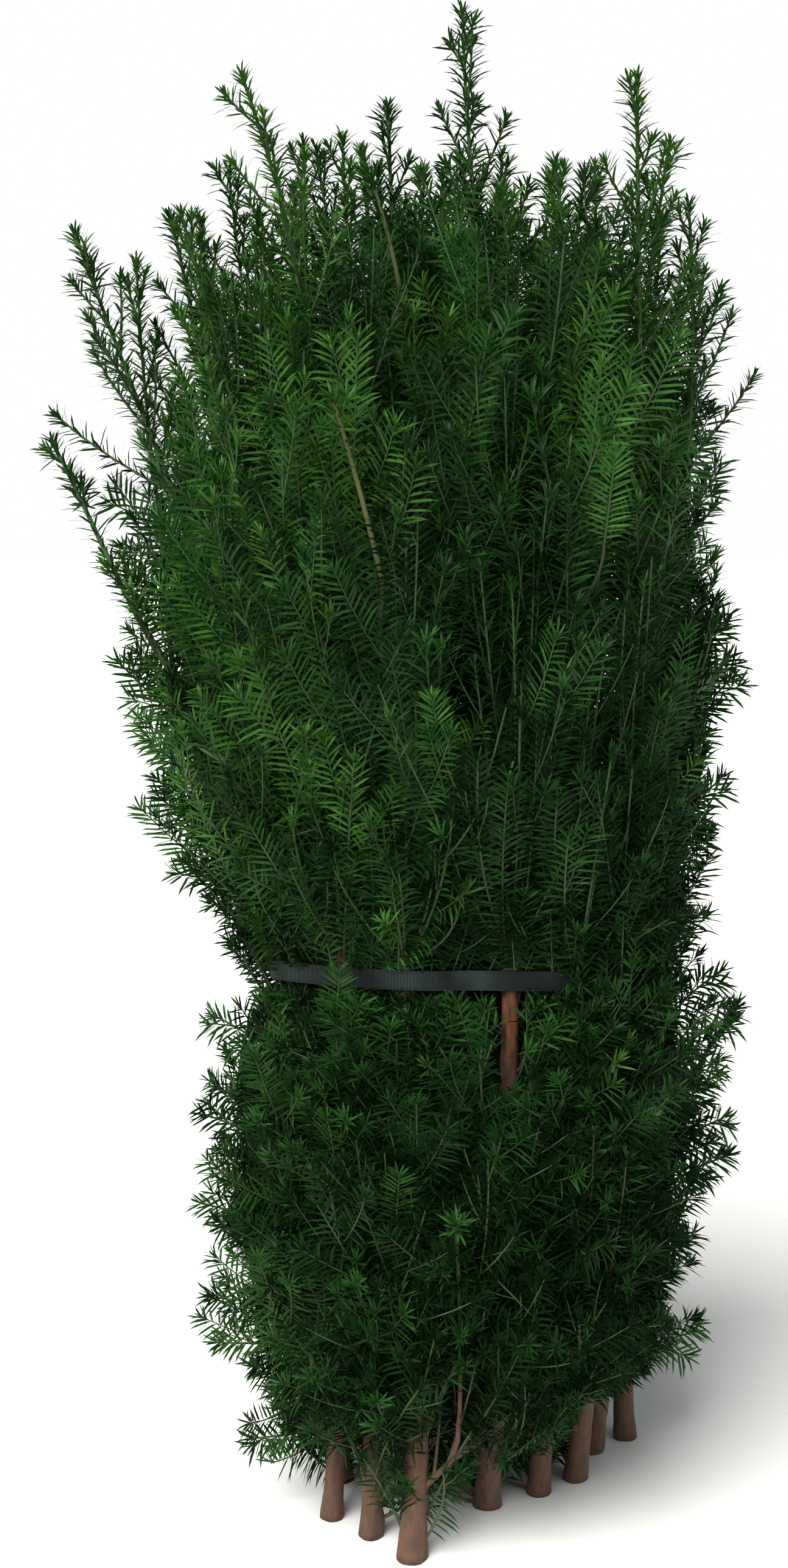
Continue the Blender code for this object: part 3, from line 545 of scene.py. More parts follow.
def bough_line(name, stems):
    """A frame bough's middle line, averaged up its height, begun inside the stem beside it."""
    points = node_points(name)
    points = points[np.argsort(points[:, 2])]
    centres = np.array([chunk.mean(0) for chunk in np.array_split(points, 7)])
    nearest = min(stems, key=lambda s: np.linalg.norm(at_height(s, centres[0, 2]) - centres[0]))
    start = at_height(nearest, centres[0, 2] - BOUGH_START_DROP)
    part = np.array(((0.0,), (1 / 3,), (2 / 3,)))
    line = np.vstack((start + (centres[2] - start) * part, centres[2:]))
    return line, np.linspace(*BOUGH_RADII_MM, len(line)) * MM


def at_height(line, height):
    """The point of a limb's middle line at a height."""
    centres = line[0]
    return np.array([np.interp(height, centres[:, 2], centres[:, k]) for k in (0, 1)] + [height])


def evenly_along(points, values, steps):
    """Evenly spaced points on a line through the given ones, the values carried along it, and
    the length from its start to each.
    """
    lengths = np.concatenate(([0.0], np.cumsum(np.linalg.norm(np.diff(points, axis=0), axis=1))))
    where = np.linspace(0, lengths[-1], steps)
    line = np.stack([np.interp(where, lengths, points[:, k]) for k in range(3)], 1)
    return line, np.interp(where, lengths, values), where


def bark_limb(name, line, radii, sides, spacing, relief, material, seed):
    """A limb of rings along a line, its radius rippled by long ridges and scattered knots.

    radius(angle, length) = taper * (1 + relief * sum of sines with seeded phases + a low round
    swelling at each knot). Near the strap there are no knots.
    """
    rng = np.random.default_rng(seed)
    steps = max(8, int(np.linalg.norm(np.diff(line, axis=0), axis=1).sum() / spacing))
    centres, taper, where = evenly_along(line, radii, steps)
    along = unit(np.gradient(centres, axis=0))
    side = unit(np.cross(along, (0.0, 1.0, 0.0)))
    other = np.cross(along, side)
    angle = np.linspace(0, 2 * np.pi, sides, endpoint=False)
    ripple = np.zeros((steps, sides))
    for waves, pitch, weight in BARK_WAVES:
        phase, drift = rng.uniform(0, 2 * np.pi), rng.uniform(0.7, 1.3)
        ripple += weight * np.sin(waves * angle + 2 * np.pi * where[:, None] / (pitch * drift) + phase)
    knots = np.zeros((steps, sides))
    for _ in range(int(where[-1] / KNOT_SPACING)):
        height, turn = rng.uniform(0.02, where[-1]), rng.uniform(0, 2 * np.pi)
        far = ((where[:, None] - height) / KNOT_LENGTH) ** 2 + (np.sin((angle - turn) / 2) / KNOT_WIDTH) ** 2
        knots += np.exp(-far) * rng.uniform(*KNOT_SWELL)
    knots *= np.clip(np.abs(centres[:, 2:] - STRAP_HEIGHT) / 0.03 - 0.6, 0, 1)
    radius = taper[:, None] * (1 + relief * ripple + knots)
    ring = side[:, None] * np.cos(angle)[:, None] + other[:, None] * np.sin(angle)[:, None]
    points = centres[:, None] + ring * radius[..., None]
    points[..., 2] = np.maximum(points[..., 2], 0.0)
    if line[0, 2] < 1e-4:
        points[0, :, 2] = 0.0
    points = np.vstack((points.reshape(-1, 3), centres[0], centres[-1]))
    faces = grid_faces(steps, sides)
    count, turn = steps * sides, np.arange(sides)
    after = (turn + 1) % sides
    foot = np.stack((np.full(sides, count), after, turn), 1)
    top = np.stack((np.full(sides, count + 1), turn, after), 1) + np.array((0, 1, 1)) * (count - sides)
    triangles = np.vstack((faces[:, (0, 1, 2)], faces[:, (0, 2, 3)], foot, top))
    return add_mesh(name, points, triangles, material)


def on_curve(shoots, share):
    """Place and direction on each shoot's curve: a parabola from root to tip drawn by its bend."""
    root, bend, tip = (shoots[key] for key in ("root", "bend", "tip"))
    share = np.asarray(share)[..., None]
    left = 1 - share
    place = root * left**2 + 2 * bend * left * share + tip * share**2
    return place, unit((bend - root) * left + (tip - bend) * share)


def frames_of(along, face):
    """Sideways and outward directions square to each shoot, the second nearest its face."""
    sideways = unit(np.cross(along, face))
    return sideways, np.cross(sideways, along)


def lengths_of(shoots):
    """How far each shoot's tip is from its root."""
    return np.linalg.norm(shoots["tip"] - shoots["root"], axis=1)


def tubes(shoots, radii, start, end, sides, steps):
    """Tapering tubes on the shoots' curves between two shares of their length.

    A corner lies at the curve's place + radius * (sideways * cos - outward * sin) of its angle.
    """
    shoots = chosen(shoots, np.s_[:, None])
    part = np.linspace(0, 1, steps)
    place, along = on_curve(shoots, start + (end - start) * part)
    sideways, outward = frames_of(along, shoots["face"])
    angle = np.linspace(0, 2 * np.pi, sides, endpoint=False)[:, None]
    radius = (radii[0] + (radii[1] - radii[0]) * part) * shoots["girth"]
    ring = sideways[:, :, None] * np.cos(angle) - outward[:, :, None] * np.sin(angle)
    points = place[:, :, None] + ring * radius[..., None, None]
    points[..., 2] = np.maximum(points[..., 2], GROUND_CLEARANCE)
    faces = grid_faces(steps, sides) + np.arange(len(points))[:, None, None] * steps * sides
    return points.reshape(-1, 3), faces.reshape(-1, 4)


def needle_mesh(outline, base, along, across, sweep, length, width):
    """Every needle as a flat blade in an outline: shares of its length, of its width, and faces.

    A point s of the way up is at base + (along * s + sweep * s * s) * length.
    """
    share, half, corners = (np.array(part) for part in outline)
    run = share[None, :, None] * length[:, None, None]
    curl = (share**2)[None, :, None] * length[:, None, None]
    points = base[:, None] + along[:, None] * run + sweep[:, None] * curl
    points = points + across[:, None] * (half[None, :] * width[:, None])[..., None]
    faces = corners[None] + len(share) * np.arange(len(base))[:, None, None]
    return points.reshape(-1, 3), faces.reshape(-1, 3)


def rank_needles(shoots):
    """Needles along every shoot: the owner of each, and its base, way, across, sweep and length.

    On a flat shoot they lie in two ranks, left and right by turns, with some scatter out of
    its plane. On a round shoot they stand all about it by the golden angle. They lean in
    towards the tip, and curve outwards as a fountain by the shoot's own amount.
    """
    count = np.maximum(3, (2 * lengths_of(shoots) * (1 - shoots["bare"]) / shoots["step"]).astype(int))
    which, rank = numbered(count)
    share = (rank + RNG.uniform(0.2, 0.8, len(which))) / count[which]
    own = chosen(shoots, which)
    place, along = on_curve(own, own["bare"] + (1 - own["bare"]) * share)
    sideways, outward = frames_of(along, own["face"])
    hand = np.where(rank % 2 == 0, 1.0, -1.0)[:, None]
    round_it = own["round"][:, None]
    turn = (rank * GOLDEN_ANGLE + which)[:, None]
    lift = RNG.normal(*NEEDLE_LIFT, len(which))[:, None]
    flat_way = sideways * hand + outward * lift
    round_way = sideways * np.cos(turn) + outward * np.sin(turn)
    away = unit(np.where(round_it, round_way, flat_way))
    lean = np.radians(by_table(NEEDLE_LEAN, share) + RNG.normal(0, NEEDLE_LEAN_SCATTER, len(which)))
    lean = (lean * own["open"])[:, None]
    way = along * np.cos(lean) + away * np.sin(lean)
    across = unit(np.where(round_it, np.cross(way, along), np.cross(outward, way)))
    across = unit(across + np.cross(way, across) * RNG.normal(0, NEEDLE_TWIST, len(which))[:, None])
    size = NEEDLE_LENGTH * by_table(NEEDLE_PROFILE, share) * own["size"]
    size *= RNG.uniform(*NEEDLE_LENGTH_SCATTER, len(which))
    curve = (own["fountain"] + RNG.normal(0, 0.05, len(which)))[:, None]
    sweep = away * curve - along * curve * 0.6 - UP * own["droop"][:, None]
    return which, place, way, across, sweep, size


def tuft_needles(shoots):
    """The close short needles round each shoot's tip, opening from its bud by the golden angle.

    On a flat shoot they stay closer to its plane and to its own direction than on a round one.
    """
    which, rank = numbered(np.full(len(shoots["root"]), TUFT_NEEDLES))
    step = rank / TUFT_NEEDLES
    own = chosen(shoots, which)
    place, along = on_curve(own, 1.0 - TUFT_LENGTH * step / lengths_of(own))
    sideways, outward = frames_of(along, own["face"])
    turn = (rank * GOLDEN_ANGLE + which)[:, None]
    round_it = own["round"]
    away = unit(sideways * np.cos(turn) + outward * np.sin(turn) * np.where(round_it, 1.0, 0.45)[:, None])
    opening = np.where(round_it, TUFT_OPENING_ROUND, TUFT_OPENING_FLAT)
    lean = np.radians(TUFT_LEAN + opening * step + RNG.normal(0, 7, len(which)))[:, None]
    way = along * np.cos(lean) + away * np.sin(lean)
    across = unit(np.cross(way, along + away * 0.2))
    size = NEEDLE_LENGTH * RNG.uniform(*TUFT_NEEDLE_SIZES, len(which)) * (0.80 + 0.30 * step) * own["size"]
    sweep = away * (own["fountain"] * 0.5 + 0.12)[:, None] - along * 0.10
    return which, place, way, across, sweep, size


def join_shoots(*groups):
    """Several sets of shoots as one."""
    return {key: np.concatenate([group[key] for group in groups]) for key in groups[0]}


def chosen(shoots, keep):
    """The shoots picked out by a mask, a list of numbers or a slice."""
    return {key: value[keep] for key, value in shoots.items()}


def shoots_from(root, bend, tip, face, **given):
    """One set of shoots, with each property given once for all of them or for each.

    Of a shoot: girth, round (needles stand all about it), bare (its share without needles), kind
    (its green: painted shade, middle, painted light or young growth), cross (it may lie over the
    strap). Of its needles: size and fat (length and width against the usual), step (how far apart),
    open, fountain and droop (how they lean, curve outwards and sink). Of its side shoots: gap (how
    far apart) and spread (how wide they lean).
    """
    usual = {"size": 1.0, "fat": 1.0, "bare": 0.05, "droop": 0.02, "girth": 1.0, "step": NEEDLE_STEP,
             "fountain": 0.06, "open": 1.0, "gap": 1.0, "spread": 1.0, "round": False, "kind": 1,
             "cross": False}
    made = {key: np.broadcast_to(np.asarray(given.get(key, value)), (len(root),)).copy()
            for key, value in usual.items()}
    return {**made, "root": root, "bend": bend, "tip": tip, "face": np.broadcast_to(face, tip.shape)}


def bent_shoots(foot, tip, shift, face, **given):
    """Shoots from foot to tip, their bends moved off the middle by the shift."""
    return shoots_from(foot, (foot + tip) / 2 + shift, tip, face, **given)


def turned(vectors, angle):
    """Each vector turned about the upright by its angle."""
    c, s = np.cos(angle)[:, None], np.sin(angle)[:, None]
    x, y, z = vectors[:, :1], vectors[:, 1:2], vectors[:, 2:]
    return np.hstack((x * c - y * s, x * s + y * c, z))


def crown_tips(count):
    """Tips spread evenly over the outer crown and, more thinly, through its inside.

    Four numbers of a sequence without clumps set the height by the crown's girth there, the
    angle by the length of outline, the depth below the outline, and which part a tip is in.
    """
    spread = (0.5 + np.outer(np.arange(1, 3 * count), EVEN_SPREAD_BASE ** -np.arange(1.0, 5.0))) % 1.0
    levels = np.linspace(*TIP_SPAN, 200)
    girth = np.cumsum((crown_at(levels)[1] + crown_at(levels)[2]) * by_table(CROWDING, levels))
    height = np.interp(spread[:, 0], (girth - girth[0]) / (girth[-1] - girth[0]), levels)
    power = 2 / CROWN_SQUARENESS
    turns = np.linspace(0, 2 * np.pi, 721)
    c, s = np.cos(turns), np.sin(turns)
    rim = np.stack((RIM_WIDTH * np.sign(c) * np.abs(c) ** power, np.sign(s) * np.abs(s) ** power), 1)
    run = np.concatenate(([0.0], np.cumsum(np.linalg.norm(np.diff(rim, axis=0), axis=1))))
    place = [np.interp(spread[:, 1] * run[-1], run, rim[:, k]) for k in (0, 1)]
    shell = 1.0 - SHELL_DEPTH * spread[:, 2] ** 1.3
    inner = 0.30 + 0.52 * spread[:, 2]
    share = np.where(spread[:, 3] < INNER_SHARE, inner, shell)
    open_top = (height > OPEN_TOP_FROM) & (spread[:, 3] < OPEN_TOP_SHARE)
    share = np.where(open_top, np.sqrt(spread[:, 2]), share)
    middle, width, depth = crown_at(height)
    x = middle + width * share * place[0] / RIM_WIDTH
    tips = np.stack((x, CROWN_MIDDLE_Y + depth * share * place[1], height), 1)
    top = by_table(CROWN_TOP, x) + RNG.normal(0, 0.024, len(x))
    held = (height < top) & ~in_window(tips, 0.008) & ~hides_strap(tips, 0.006) & ~over_bare_ground(tips)
    return tips[held][:count]


def over_bare_ground(points, slack=0.0):
    """Which points lie in front of the feet, by more than the slack, and low enough to hide them."""
    edge = GROUND_CORNER[1] - slack + GROUND_SLOPE * np.abs(points[..., 0] - GROUND_CORNER[0])
    return points[..., 1] < edge - GROUND_RISE * (points[..., 2] - GROUND_GAP)


def in_picture(points):
    """Where points fall in the picture, across and up, in shares of their depth; and that depth."""
    c, s = math.cos(CAMERA_PITCH_DOWN), math.sin(CAMERA_PITCH_DOWN)
    step = points - np.array(CAMERA_PLACE)
    depth = step[..., 1] * c - step[..., 2] * s
    return step[..., 0] / depth, (step[..., 1] * s + step[..., 2] * c) / depth, depth


def hides_feet(points):
    """Which points stand in front of a length of bare wood that shows near the ground."""
    across, up, depth = in_picture(points)
    hidden = np.zeros(across.shape, dtype=bool)
    for low, high, half_width in bare_wood:
        ends_across, ends_up, ends_depth = in_picture(np.stack((low, high)))
        off = np.abs(across - np.interp(up, ends_up, ends_across)) * ends_depth[0]
        level = (up > ends_up[0] - 0.01) & (up < ends_up[1])
        hidden |= (off <= half_width) & level & (depth < ends_depth[0] - 0.008)
    return hidden


def beyond_left_arm(points):
    """Which points lie outside the line along the under side of the bough that leans out left."""
    x, z = points[..., 0], points[..., 2]
    left, top = LEFT_ARM_END
    return (x < left + LEFT_ARM_SLOPE * (top - z)) & (z > LEFT_ARM_FROM) & (z < top)


def sight_drop(points):
    """How far each point lies in front of the stems at the strap, which face the camera."""
    return STEM_FRONT_Y - points[..., 1]


def in_window(points, margin=0.0):
    """Which points would hide the stem that shows under the strap."""
    left, right, low, high = STEM_WINDOW
    shift = sight_drop(points)
    x = points[..., 0] + (points[..., 0] - CAMERA_PLACE[0]) * shift / SIGHT_LENGTH
    z = points[..., 2] - SIGHT_SLOPE * shift
    inside = (x > left - margin) & (x < right + margin) & (z > low - margin) & (z < high + margin)
    return inside & (points[..., 1] < WINDOW_FRONT_Y)


def near_window(points):
    """Which points would hide the stem that shows under the strap, or come close to that."""
    return in_window(points, 2 * MM)


def hides_strap(points, margin=-1.5 * MM):
    """Which points stand in front of the part of the strap that shows."""
    drop = sight_drop(points)
    x = points[..., 0] + (CAMERA_PLACE[0] - points[..., 0]) * np.clip(drop, 0, 1) / SIGHT_LENGTH
    level = np.abs(points[..., 2] - STRAP_HEIGHT - SIGHT_SLOPE * drop) < STRAP_HALF_WIDTH + margin
    before = points[..., 1] < by_table(STRAP_FRONT, points[..., 0])
    return level & before & (x > STRAP_SEEN[0]) & (x < STRAP_SEEN[1])


def passes(shoots, test):
    """Which shoots pass through a place that the test tells."""
    return test(on_curve(chosen(shoots, np.s_[:, None]), np.linspace(0, 1, TEST_STEPS))[0]).any(1)


def clear_of(shoots, *tests):
    """The shoots that pass through none of the places that the tests tell."""
    return chosen(shoots, ~np.any([passes(shoots, test) for test in tests], axis=0))


def crown_branches(tips):
    """Branches that end in the given tips, without their roots yet.

    Above the strap they rise close to upright and lean out as shingles do. Below it they
    turn out and sideways more freely, and just over the ground they lie almost level.
    """
    count = len(tips)
    height, share = tips[:, 2], crown_share(tips)
    outward = outward_at(tips)
    beside = turned(outward, np.full(count, np.pi / 2))
    rise = by_table(BRANCH_RISE, height)
    way = unit(outward * RNG.uniform(0.40, 1.25, count)[:, None] + UP * rise[:, None]
               + beside * (RNG.normal(0, 1, count) * by_table(BRANCH_STRAY, height)
                           * np.maximum(rise, 0.8))[:, None])
    length = (by_table(BRANCH_LENGTH, height) * RNG.uniform(0.75, 1.15, count))[:, None]
    face = unit(turned(outward, RNG.normal(0, 0.60, count)) + UP * RNG.uniform(-0.1, 0.5, count)[:, None])
    deep = (share < DEEP_INSIDE) & (height < PLAIN_BELOW)
    low = height < LOW_PART_TOP
    # Painted light and shade: branches take lighter greens towards the upper left and the top, and the
    # painted-shade green deep inside and more often low down
    painted_light_shift = by_table(PAINTED_LIGHT_ACROSS, tips[:, 0]) + by_table(PAINTED_LIGHT_UP, height)
    chance = RNG.uniform(0, 1, count) + painted_light_shift
    plume = RNG.uniform(0, 1, count) < PLUME_SHARE
    kind = np.select([deep, low & (chance < 0.30), low & (chance < 0.84), low,
                      chance < 0.12, chance < 0.62, chance < 0.94], [0, 0, 1, 2, 0, 1, 2], 3)
    return shoots_from(
        tips - way * length, tips - way * length * 0.5, tips, face,
        size=RNG.uniform(0.86, 1.08, count), fat=np.where(deep, 1.25, 1.0),
        bare=np.where(low, 0.26, np.where(plume, 0.12, 0.20)),
        round=RNG.uniform(0, 1, count) < np.where(low, 0.10, 0.24), droop=np.where(low, 0.06, 0.02),
        fountain=0.30 + RNG.normal(0, 0.07, count), open=np.where(low, 0.90, 0.86),
        step=np.where(deep, 1.35, 1.0) * NEEDLE_STEP, kind=kind, girth=1.25,
        gap=np.where(low, 52, np.where(plume, 190, 66)) * MM, spread=np.where(low, 1.0, 0.72))


def set_roots(branches, lines, across_strap=True):
    """Moves each branch's root to the nearest fitting place on a limb, and redraws its bend.

    Where it may not cross the strap's level, its root stays on the tip's side of it.
    """
    places = np.vstack([evenly_along(line, radii, 90)[0] for line, radii in lines])
    roots, tip = branches["root"], branches["tip"]
    start = np.empty_like(roots)
    for part in np.array_split(np.arange(len(roots)), 10):
        step = places[None] - roots[part][:, None]
        cost = np.linalg.norm(step[..., :2], axis=2) + 0.8 * np.abs(step[..., 2] + 0.02)
        if not across_strap:
            over = (places[None, :, 2] - STRAP_HEIGHT - 0.015) * (tip[part, None, 2] - STRAP_HEIGHT)
            cost = cost + (over < 0)
        start[part] = places[cost.argmin(1)]
    way = unit(tip - branches["bend"])
    branches["root"] = start
    branches["bend"] = tip - way * 0.52 * np.linalg.norm(tip - start, axis=1, keepdims=True)
    branches["bend"][:, 2] = np.maximum(branches["bend"][:, 2], 0.02)


def side_shoots(branches, low_share, lengths, spiral=False):
    """Side shoots on each branch, left and right by turns or spiralling round an upright one.

    Each leaves at 46 degrees low down and 30 near the tip, times the branch's own spread, and
    then bends to the branch's own way. The lengths are shares of the branch's, at three places.
    """
    room = lengths_of(branches) * (1 - low_share) / branches["gap"]
    count = np.clip(room + RNG.uniform(0, 1, len(room)), 0, 9).astype(int)
    which, rank = numbered(count)
    share = low_share + (0.94 - low_share) * (rank + RNG.uniform(0.15, 0.85, len(which))) / count[which]
    own = chosen(branches, which)
    place, along = on_curve(own, share)
    sideways, outward = frames_of(along, own["face"])
    by_turns = np.where((rank + which) % 2 == 0, 0.0, np.pi) + RNG.normal(0, 0.40, len(which))
    turn = np.where(spiral, rank * GOLDEN_ANGLE + which, by_turns)[:, None]
    away = sideways * np.cos(turn) + outward * np.sin(turn)
    lean = by_table(SIDE_LEAN, share) + RNG.normal(0, 6, len(which))
    lean = np.radians(lean * own["spread"])[:, None]
    way = along * np.cos(lean) + away * np.sin(lean)
    reach = np.interp(share, (0.3, 0.6, 0.95), lengths) * lengths_of(own)
    reach = np.clip(reach * RNG.uniform(*SIDE_LENGTH_SCATTER, len(which)), *SIDE_LENGTHS)[:, None]
    tip = place + unit(way * 0.78 + along * 0.22 - UP * own["droop"][:, None] * 0.8) * reach
    face = unit(own["face"] + RNG.normal(0, 0.22, (len(which), 3)))
    brighter = (RNG.uniform(0, 1, len(which)) < SIDE_BRIGHTER).astype(int)
    kept = {key: own[key] for key in ("fat", "round", "droop", "open", "fountain", "step")}
    return shoots_from(place, place + way * reach * 0.5, tip, face, size=own["size"] * 0.97,
                       kind=np.minimum(own["kind"] + brighter, 3),
                       girth=RNG.uniform(0.75, 0.95, len(which)), **kept)


def strap_row(foot_heights, set_back, lengths):
    """A row of short shoots in front of the stems at the strap, from feet between two heights.

    Each foot is set back from the strap's own outline, and its tip is a little further out.
    """
    count = STRAP_ROW_COUNT
    across = np.linspace(*STRAP_ROW_SPAN, count) + RNG.uniform(-0.008, 0.008, count)
    front = by_table(STRAP_FRONT, across)
    foot = np.stack((across, front + set_back, RNG.uniform(*foot_heights, count)), 1)
    step = np.stack((RNG.normal(0, 0.45, count), -RNG.uniform(0.10, 0.45, count), np.ones(count)), 1)
    tip = foot + unit(step) * RNG.uniform(*lengths, count)[:, None]
    face = unit(outward_at(tip) + RNG.normal(0, 0.25, tip.shape))
    return bent_shoots(foot, tip, np.array((0.0, -0.008, -0.004)), face, bare=0.0, gap=50 * MM,
                       kind=RNG.integers(0, 3, count), fountain=0.16, droop=0.05)


def strap_cuffs(lines):
    """A shoot up the front of every stem close over the strap, and one close under it."""
    foot = np.array([at_height(line, height) for line in lines for height in CUFF_HEIGHTS])
    outward = outward_at(foot)
    foot = foot + outward * 0.019
    tip = foot + outward * 0.010 + UP * np.where(foot[:, 2] > STRAP_HEIGHT, 0.075, 0.044)[:, None]
    tip += turned(outward, np.full(len(foot), np.pi / 2)) * RNG.normal(0, 0.006, (len(foot), 1))
    return bent_shoots(foot, tip, outward * 0.004, outward, bare=0.0, step=0.8 * NEEDLE_STEP,
                       kind=np.arange(len(foot)) // 2 % 3, fountain=0.12)


def clothing_shoots(lines):
    """Short shoots up every stem, spiralling by the golden angle, that clothe its bark."""
    feet = []
    for centres, _ in lines:
        heights = np.arange(CLOTHING_SPAN[0], min(CLOTHING_SPAN[1], centres[-1, 2]), CLOTHING_STEP)
        feet.append(np.stack([np.interp(heights, centres[:, 2], centres[:, k]) for k in range(3)], 1))
    foot = np.vstack(feet)
    count = len(foot)
    turn = np.arange(count) * GOLDEN_ANGLE
    outward = outward_at(foot)
    around = np.stack((np.cos(turn), np.sin(turn), np.zeros(count)), 1)
    way = unit(outward + around * 0.6 + UP * by_table(CLOTHING_RISE, foot[:, 2])[:, None])
    reach = (RNG.uniform(0.060, 0.100, count) * by_table(CLOTHING_LENGTH, foot[:, 2]))[:, None]
    return shoots_from(foot, foot + (way + outward * 0.2) * reach * 0.5, foot + way * reach,
                       unit(outward + UP * 0.3), bare=0.0, kind=(turn * 7).astype(int) % 3,
                       fountain=0.12, droop=0.04, girth=0.85)


def leading_shoots(root, tip, radius):
    """Stout upright shoots, each from a root to a tip that stands clear, with its side shoots."""
    length = np.linalg.norm(tip - root, axis=1, keepdims=True)
    bend = (root + tip) / 2 + UP * 0.04 * length + RNG.normal(0, 0.010, root.shape)
    # Painted light: leaders that end above 1 m take the painted-light or young green, lower ones the middle
    # green
    kind = np.where(tip[:, 2] < 1.0, 1, 2 + np.arange(len(root)) % 2)
    main = shoots_from(root, bend, tip, unit(outward_at(root) + 0.05), size=0.80, round=True,
                       bare=0.10, girth=radius / SHOOT_TIP_RADIUS, open=0.86, fountain=0.30,
                       step=0.46 * NEEDLE_STEP, kind=kind, fat=1.15, gap=42 * MM, spread=0.85)
    side = side_shoots(main, 0.10, (0.36, 0.20, 0.08), spiral=True)
    side["open"][:] = 0.90
    side["step"][:] = 0.55 * NEEDLE_STEP
    side["girth"][:] = 1.4
    return main, side


def stalks_for(shoots, drop):
    """A bare stalk to below each shoot's foot, without its root yet."""
    foot = shoots["root"]
    return shoots_from(foot - UP * drop, foot - UP * drop / 2, foot, shoots["face"], girth=shoots["girth"])


def settle(piece, nodes):
    """A finished piece hides the frame nodes it replaces and takes its place on the frame."""
    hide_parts(*nodes)
    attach(piece, "root")


def add_needles(shoots, materials, masses):
    """Needle pieces: as many of each kind of green as keep each under the limit of faces."""
    owner, base, way, across, sweep, long = (
        np.concatenate(parts) for parts in zip(rank_needles(shoots), tuft_needles(shoots)))
    wide = NEEDLE_WIDTH * np.clip(long / NEEDLE_LENGTH, 0.66, 1.0) * shoots["fat"][owner]
    end = base + (way + sweep) * long[:, None]
    half_way = base + (way * 0.5 + sweep * 0.25) * long[:, None]
    over_strap = hides_strap(end, STRAP_OVERLAP) | hides_strap(half_way, STRAP_OVERLAP)
    in_opening = in_window(end) | in_window(half_way)
    left_out = over_strap & ~shoots["cross"][owner]
    left_out |= in_opening & (RNG.uniform(0, 1, len(owner)) > WINDOW_NEEDLES)
    left_out |= (base[:, 2] <= 0.004) | (end[:, 2] <= 0.002) | over_bare_ground(end, NEEDLE_OVERHANG)
    left_out |= hides_feet(end) | hides_feet(half_way) | hides_feet(base)
    kinds = shoots["kind"][owner]
    plain = ((crown_share(base) < PLAIN_INSIDE) & (base[:, 2] < PLAIN_BELOW)) | (kinds == 0)
    for kind, material in enumerate(materials):
        for layer, outline, fitting in (("inner", NEEDLE_KITE, plain), ("outer", NEEDLE_BLADE, ~plain)):
            picked = np.flatnonzero((kinds == kind) & ~left_out & fitting)
            parts = math.ceil(len(outline[2]) * len(picked) / PIECE_TRIANGLES)
            for number, part in enumerate(np.array_split(picked, max(1, parts)) if parts else ()):
                points, faces = needle_mesh(
                    outline, base[part], way[part], across[part], sweep[part], long[part], wide[part])
                points[:, 2] = np.maximum(points[:, 2], GROUND_CLEARANCE)
                name = f"{material.name}_{layer}_{number + 1}"
                settle(add_mesh(name, points, faces, material, smooth=False), masses)


def add_tubes(name, parts, material, masses):
    """Twig pieces from sets of points and quads, each under the limit of faces."""
    points = np.vstack([part[0] for part in parts])
    shift = np.cumsum([0] + [len(part[0]) for part in parts[:-1]])
    faces = np.vstack([part[1] + start for part, start in zip(parts, shift)])
    for number, group in enumerate(np.array_split(faces, math.ceil(2 * len(faces) / PIECE_TRIANGLES))):
        used, renumbered = np.unique(group, return_inverse=True)
        piece = add_mesh(f"{name}_{number + 1}", points[used], renumbered.reshape(group.shape), material)
        settle(piece, masses)


def add_strap(material):
    """The webbing: a ribbed band round the outer corners of the frame's strap, closed behind.

    Its face stands out by relief * |sin(ribs * pi * v)|, where v runs from edge to edge. Its
    outline is smoothed, and its left end hangs off the stems.
    """
    points = np.unique(node_points("tie_strap")[:, :2], axis=0)
    middle = points.mean(0)
    around = np.linspace(-np.pi, np.pi, STRAP_COLUMNS, endpoint=False)
    tight = hull_reach(points - middle, around)
    window = 2 * STRAP_SMOOTHING + 1
    rim = np.convolve(np.pad(tight, STRAP_SMOOTHING, "wrap"), np.ones(window) / window, "valid")
    rim = np.maximum(rim, tight - 0.4 * MM)
    ribs = np.linspace(0, 1, STRAP_RIBS * 4 + 1)
    outer = np.stack((ribs * 2 - 1, STRAP_RIB_RELIEF * np.abs(np.sin(STRAP_RIBS * np.pi * ribs))), 1)
    profile = np.vstack((outer, ((1.0, -STRAP_THICKNESS), (-1.0, -STRAP_THICKNESS))))
    sag = sum(rise * MM * np.sin(waves * around + phase) for waves, rise, phase in STRAP_WAVES)
    radius = rim[:, None] + profile[:, 1]
    x = middle[0] + radius * np.cos(around)[:, None]
    x = x - STRAP_SLACK * np.maximum(0, STRAP_SLACK_FROM - x)
    y = middle[1] + radius * np.sin(around)[:, None]
    z = STRAP_HEIGHT + profile[:, 0] * (STRAP_HALF_WIDTH - 0.3 * MM) + sag[:, None]
    faces = grid_faces(STRAP_COLUMNS, len(profile), closed=True)[:, (0, 3, 2, 1)]
    run = (around * rim.mean() / MM)[:, None]
    uv = np.stack(np.broadcast_arrays(run, profile[:, 0] * STRAP_HALF_WIDTH / MM), -1)
    mesh_points = np.stack((x, y, z), -1).reshape(-1, 3)
    return add_mesh("woven_tie_strap", mesh_points, faces, material, uv=uv.reshape(-1, 2))


def hull_reach(points, angles):
    """How far the outline through the outermost points lies from the middle, at each angle.

    It is the furthest that a ray at the angle meets a line between any two of the points.
    """
    step = points[None] - points[:, None]
    cross = points[:, None, 0] * step[..., 1] - points[:, None, 1] * step[..., 0]
    best = []
    for c, s in zip(np.cos(angles), np.sin(angles)):
        turn = points[:, None, 0] * s - points[:, None, 1] * c
        with np.errstate(divide="ignore", invalid="ignore"):
            share = -turn / (step[..., 0] * s - step[..., 1] * c)
            distance = cross / (c * step[..., 1] - s * step[..., 0])
        best.append(distance[(share >= 0) & (share <= 1) & np.isfinite(distance) & (distance > 0)].max())
    return np.array(best)


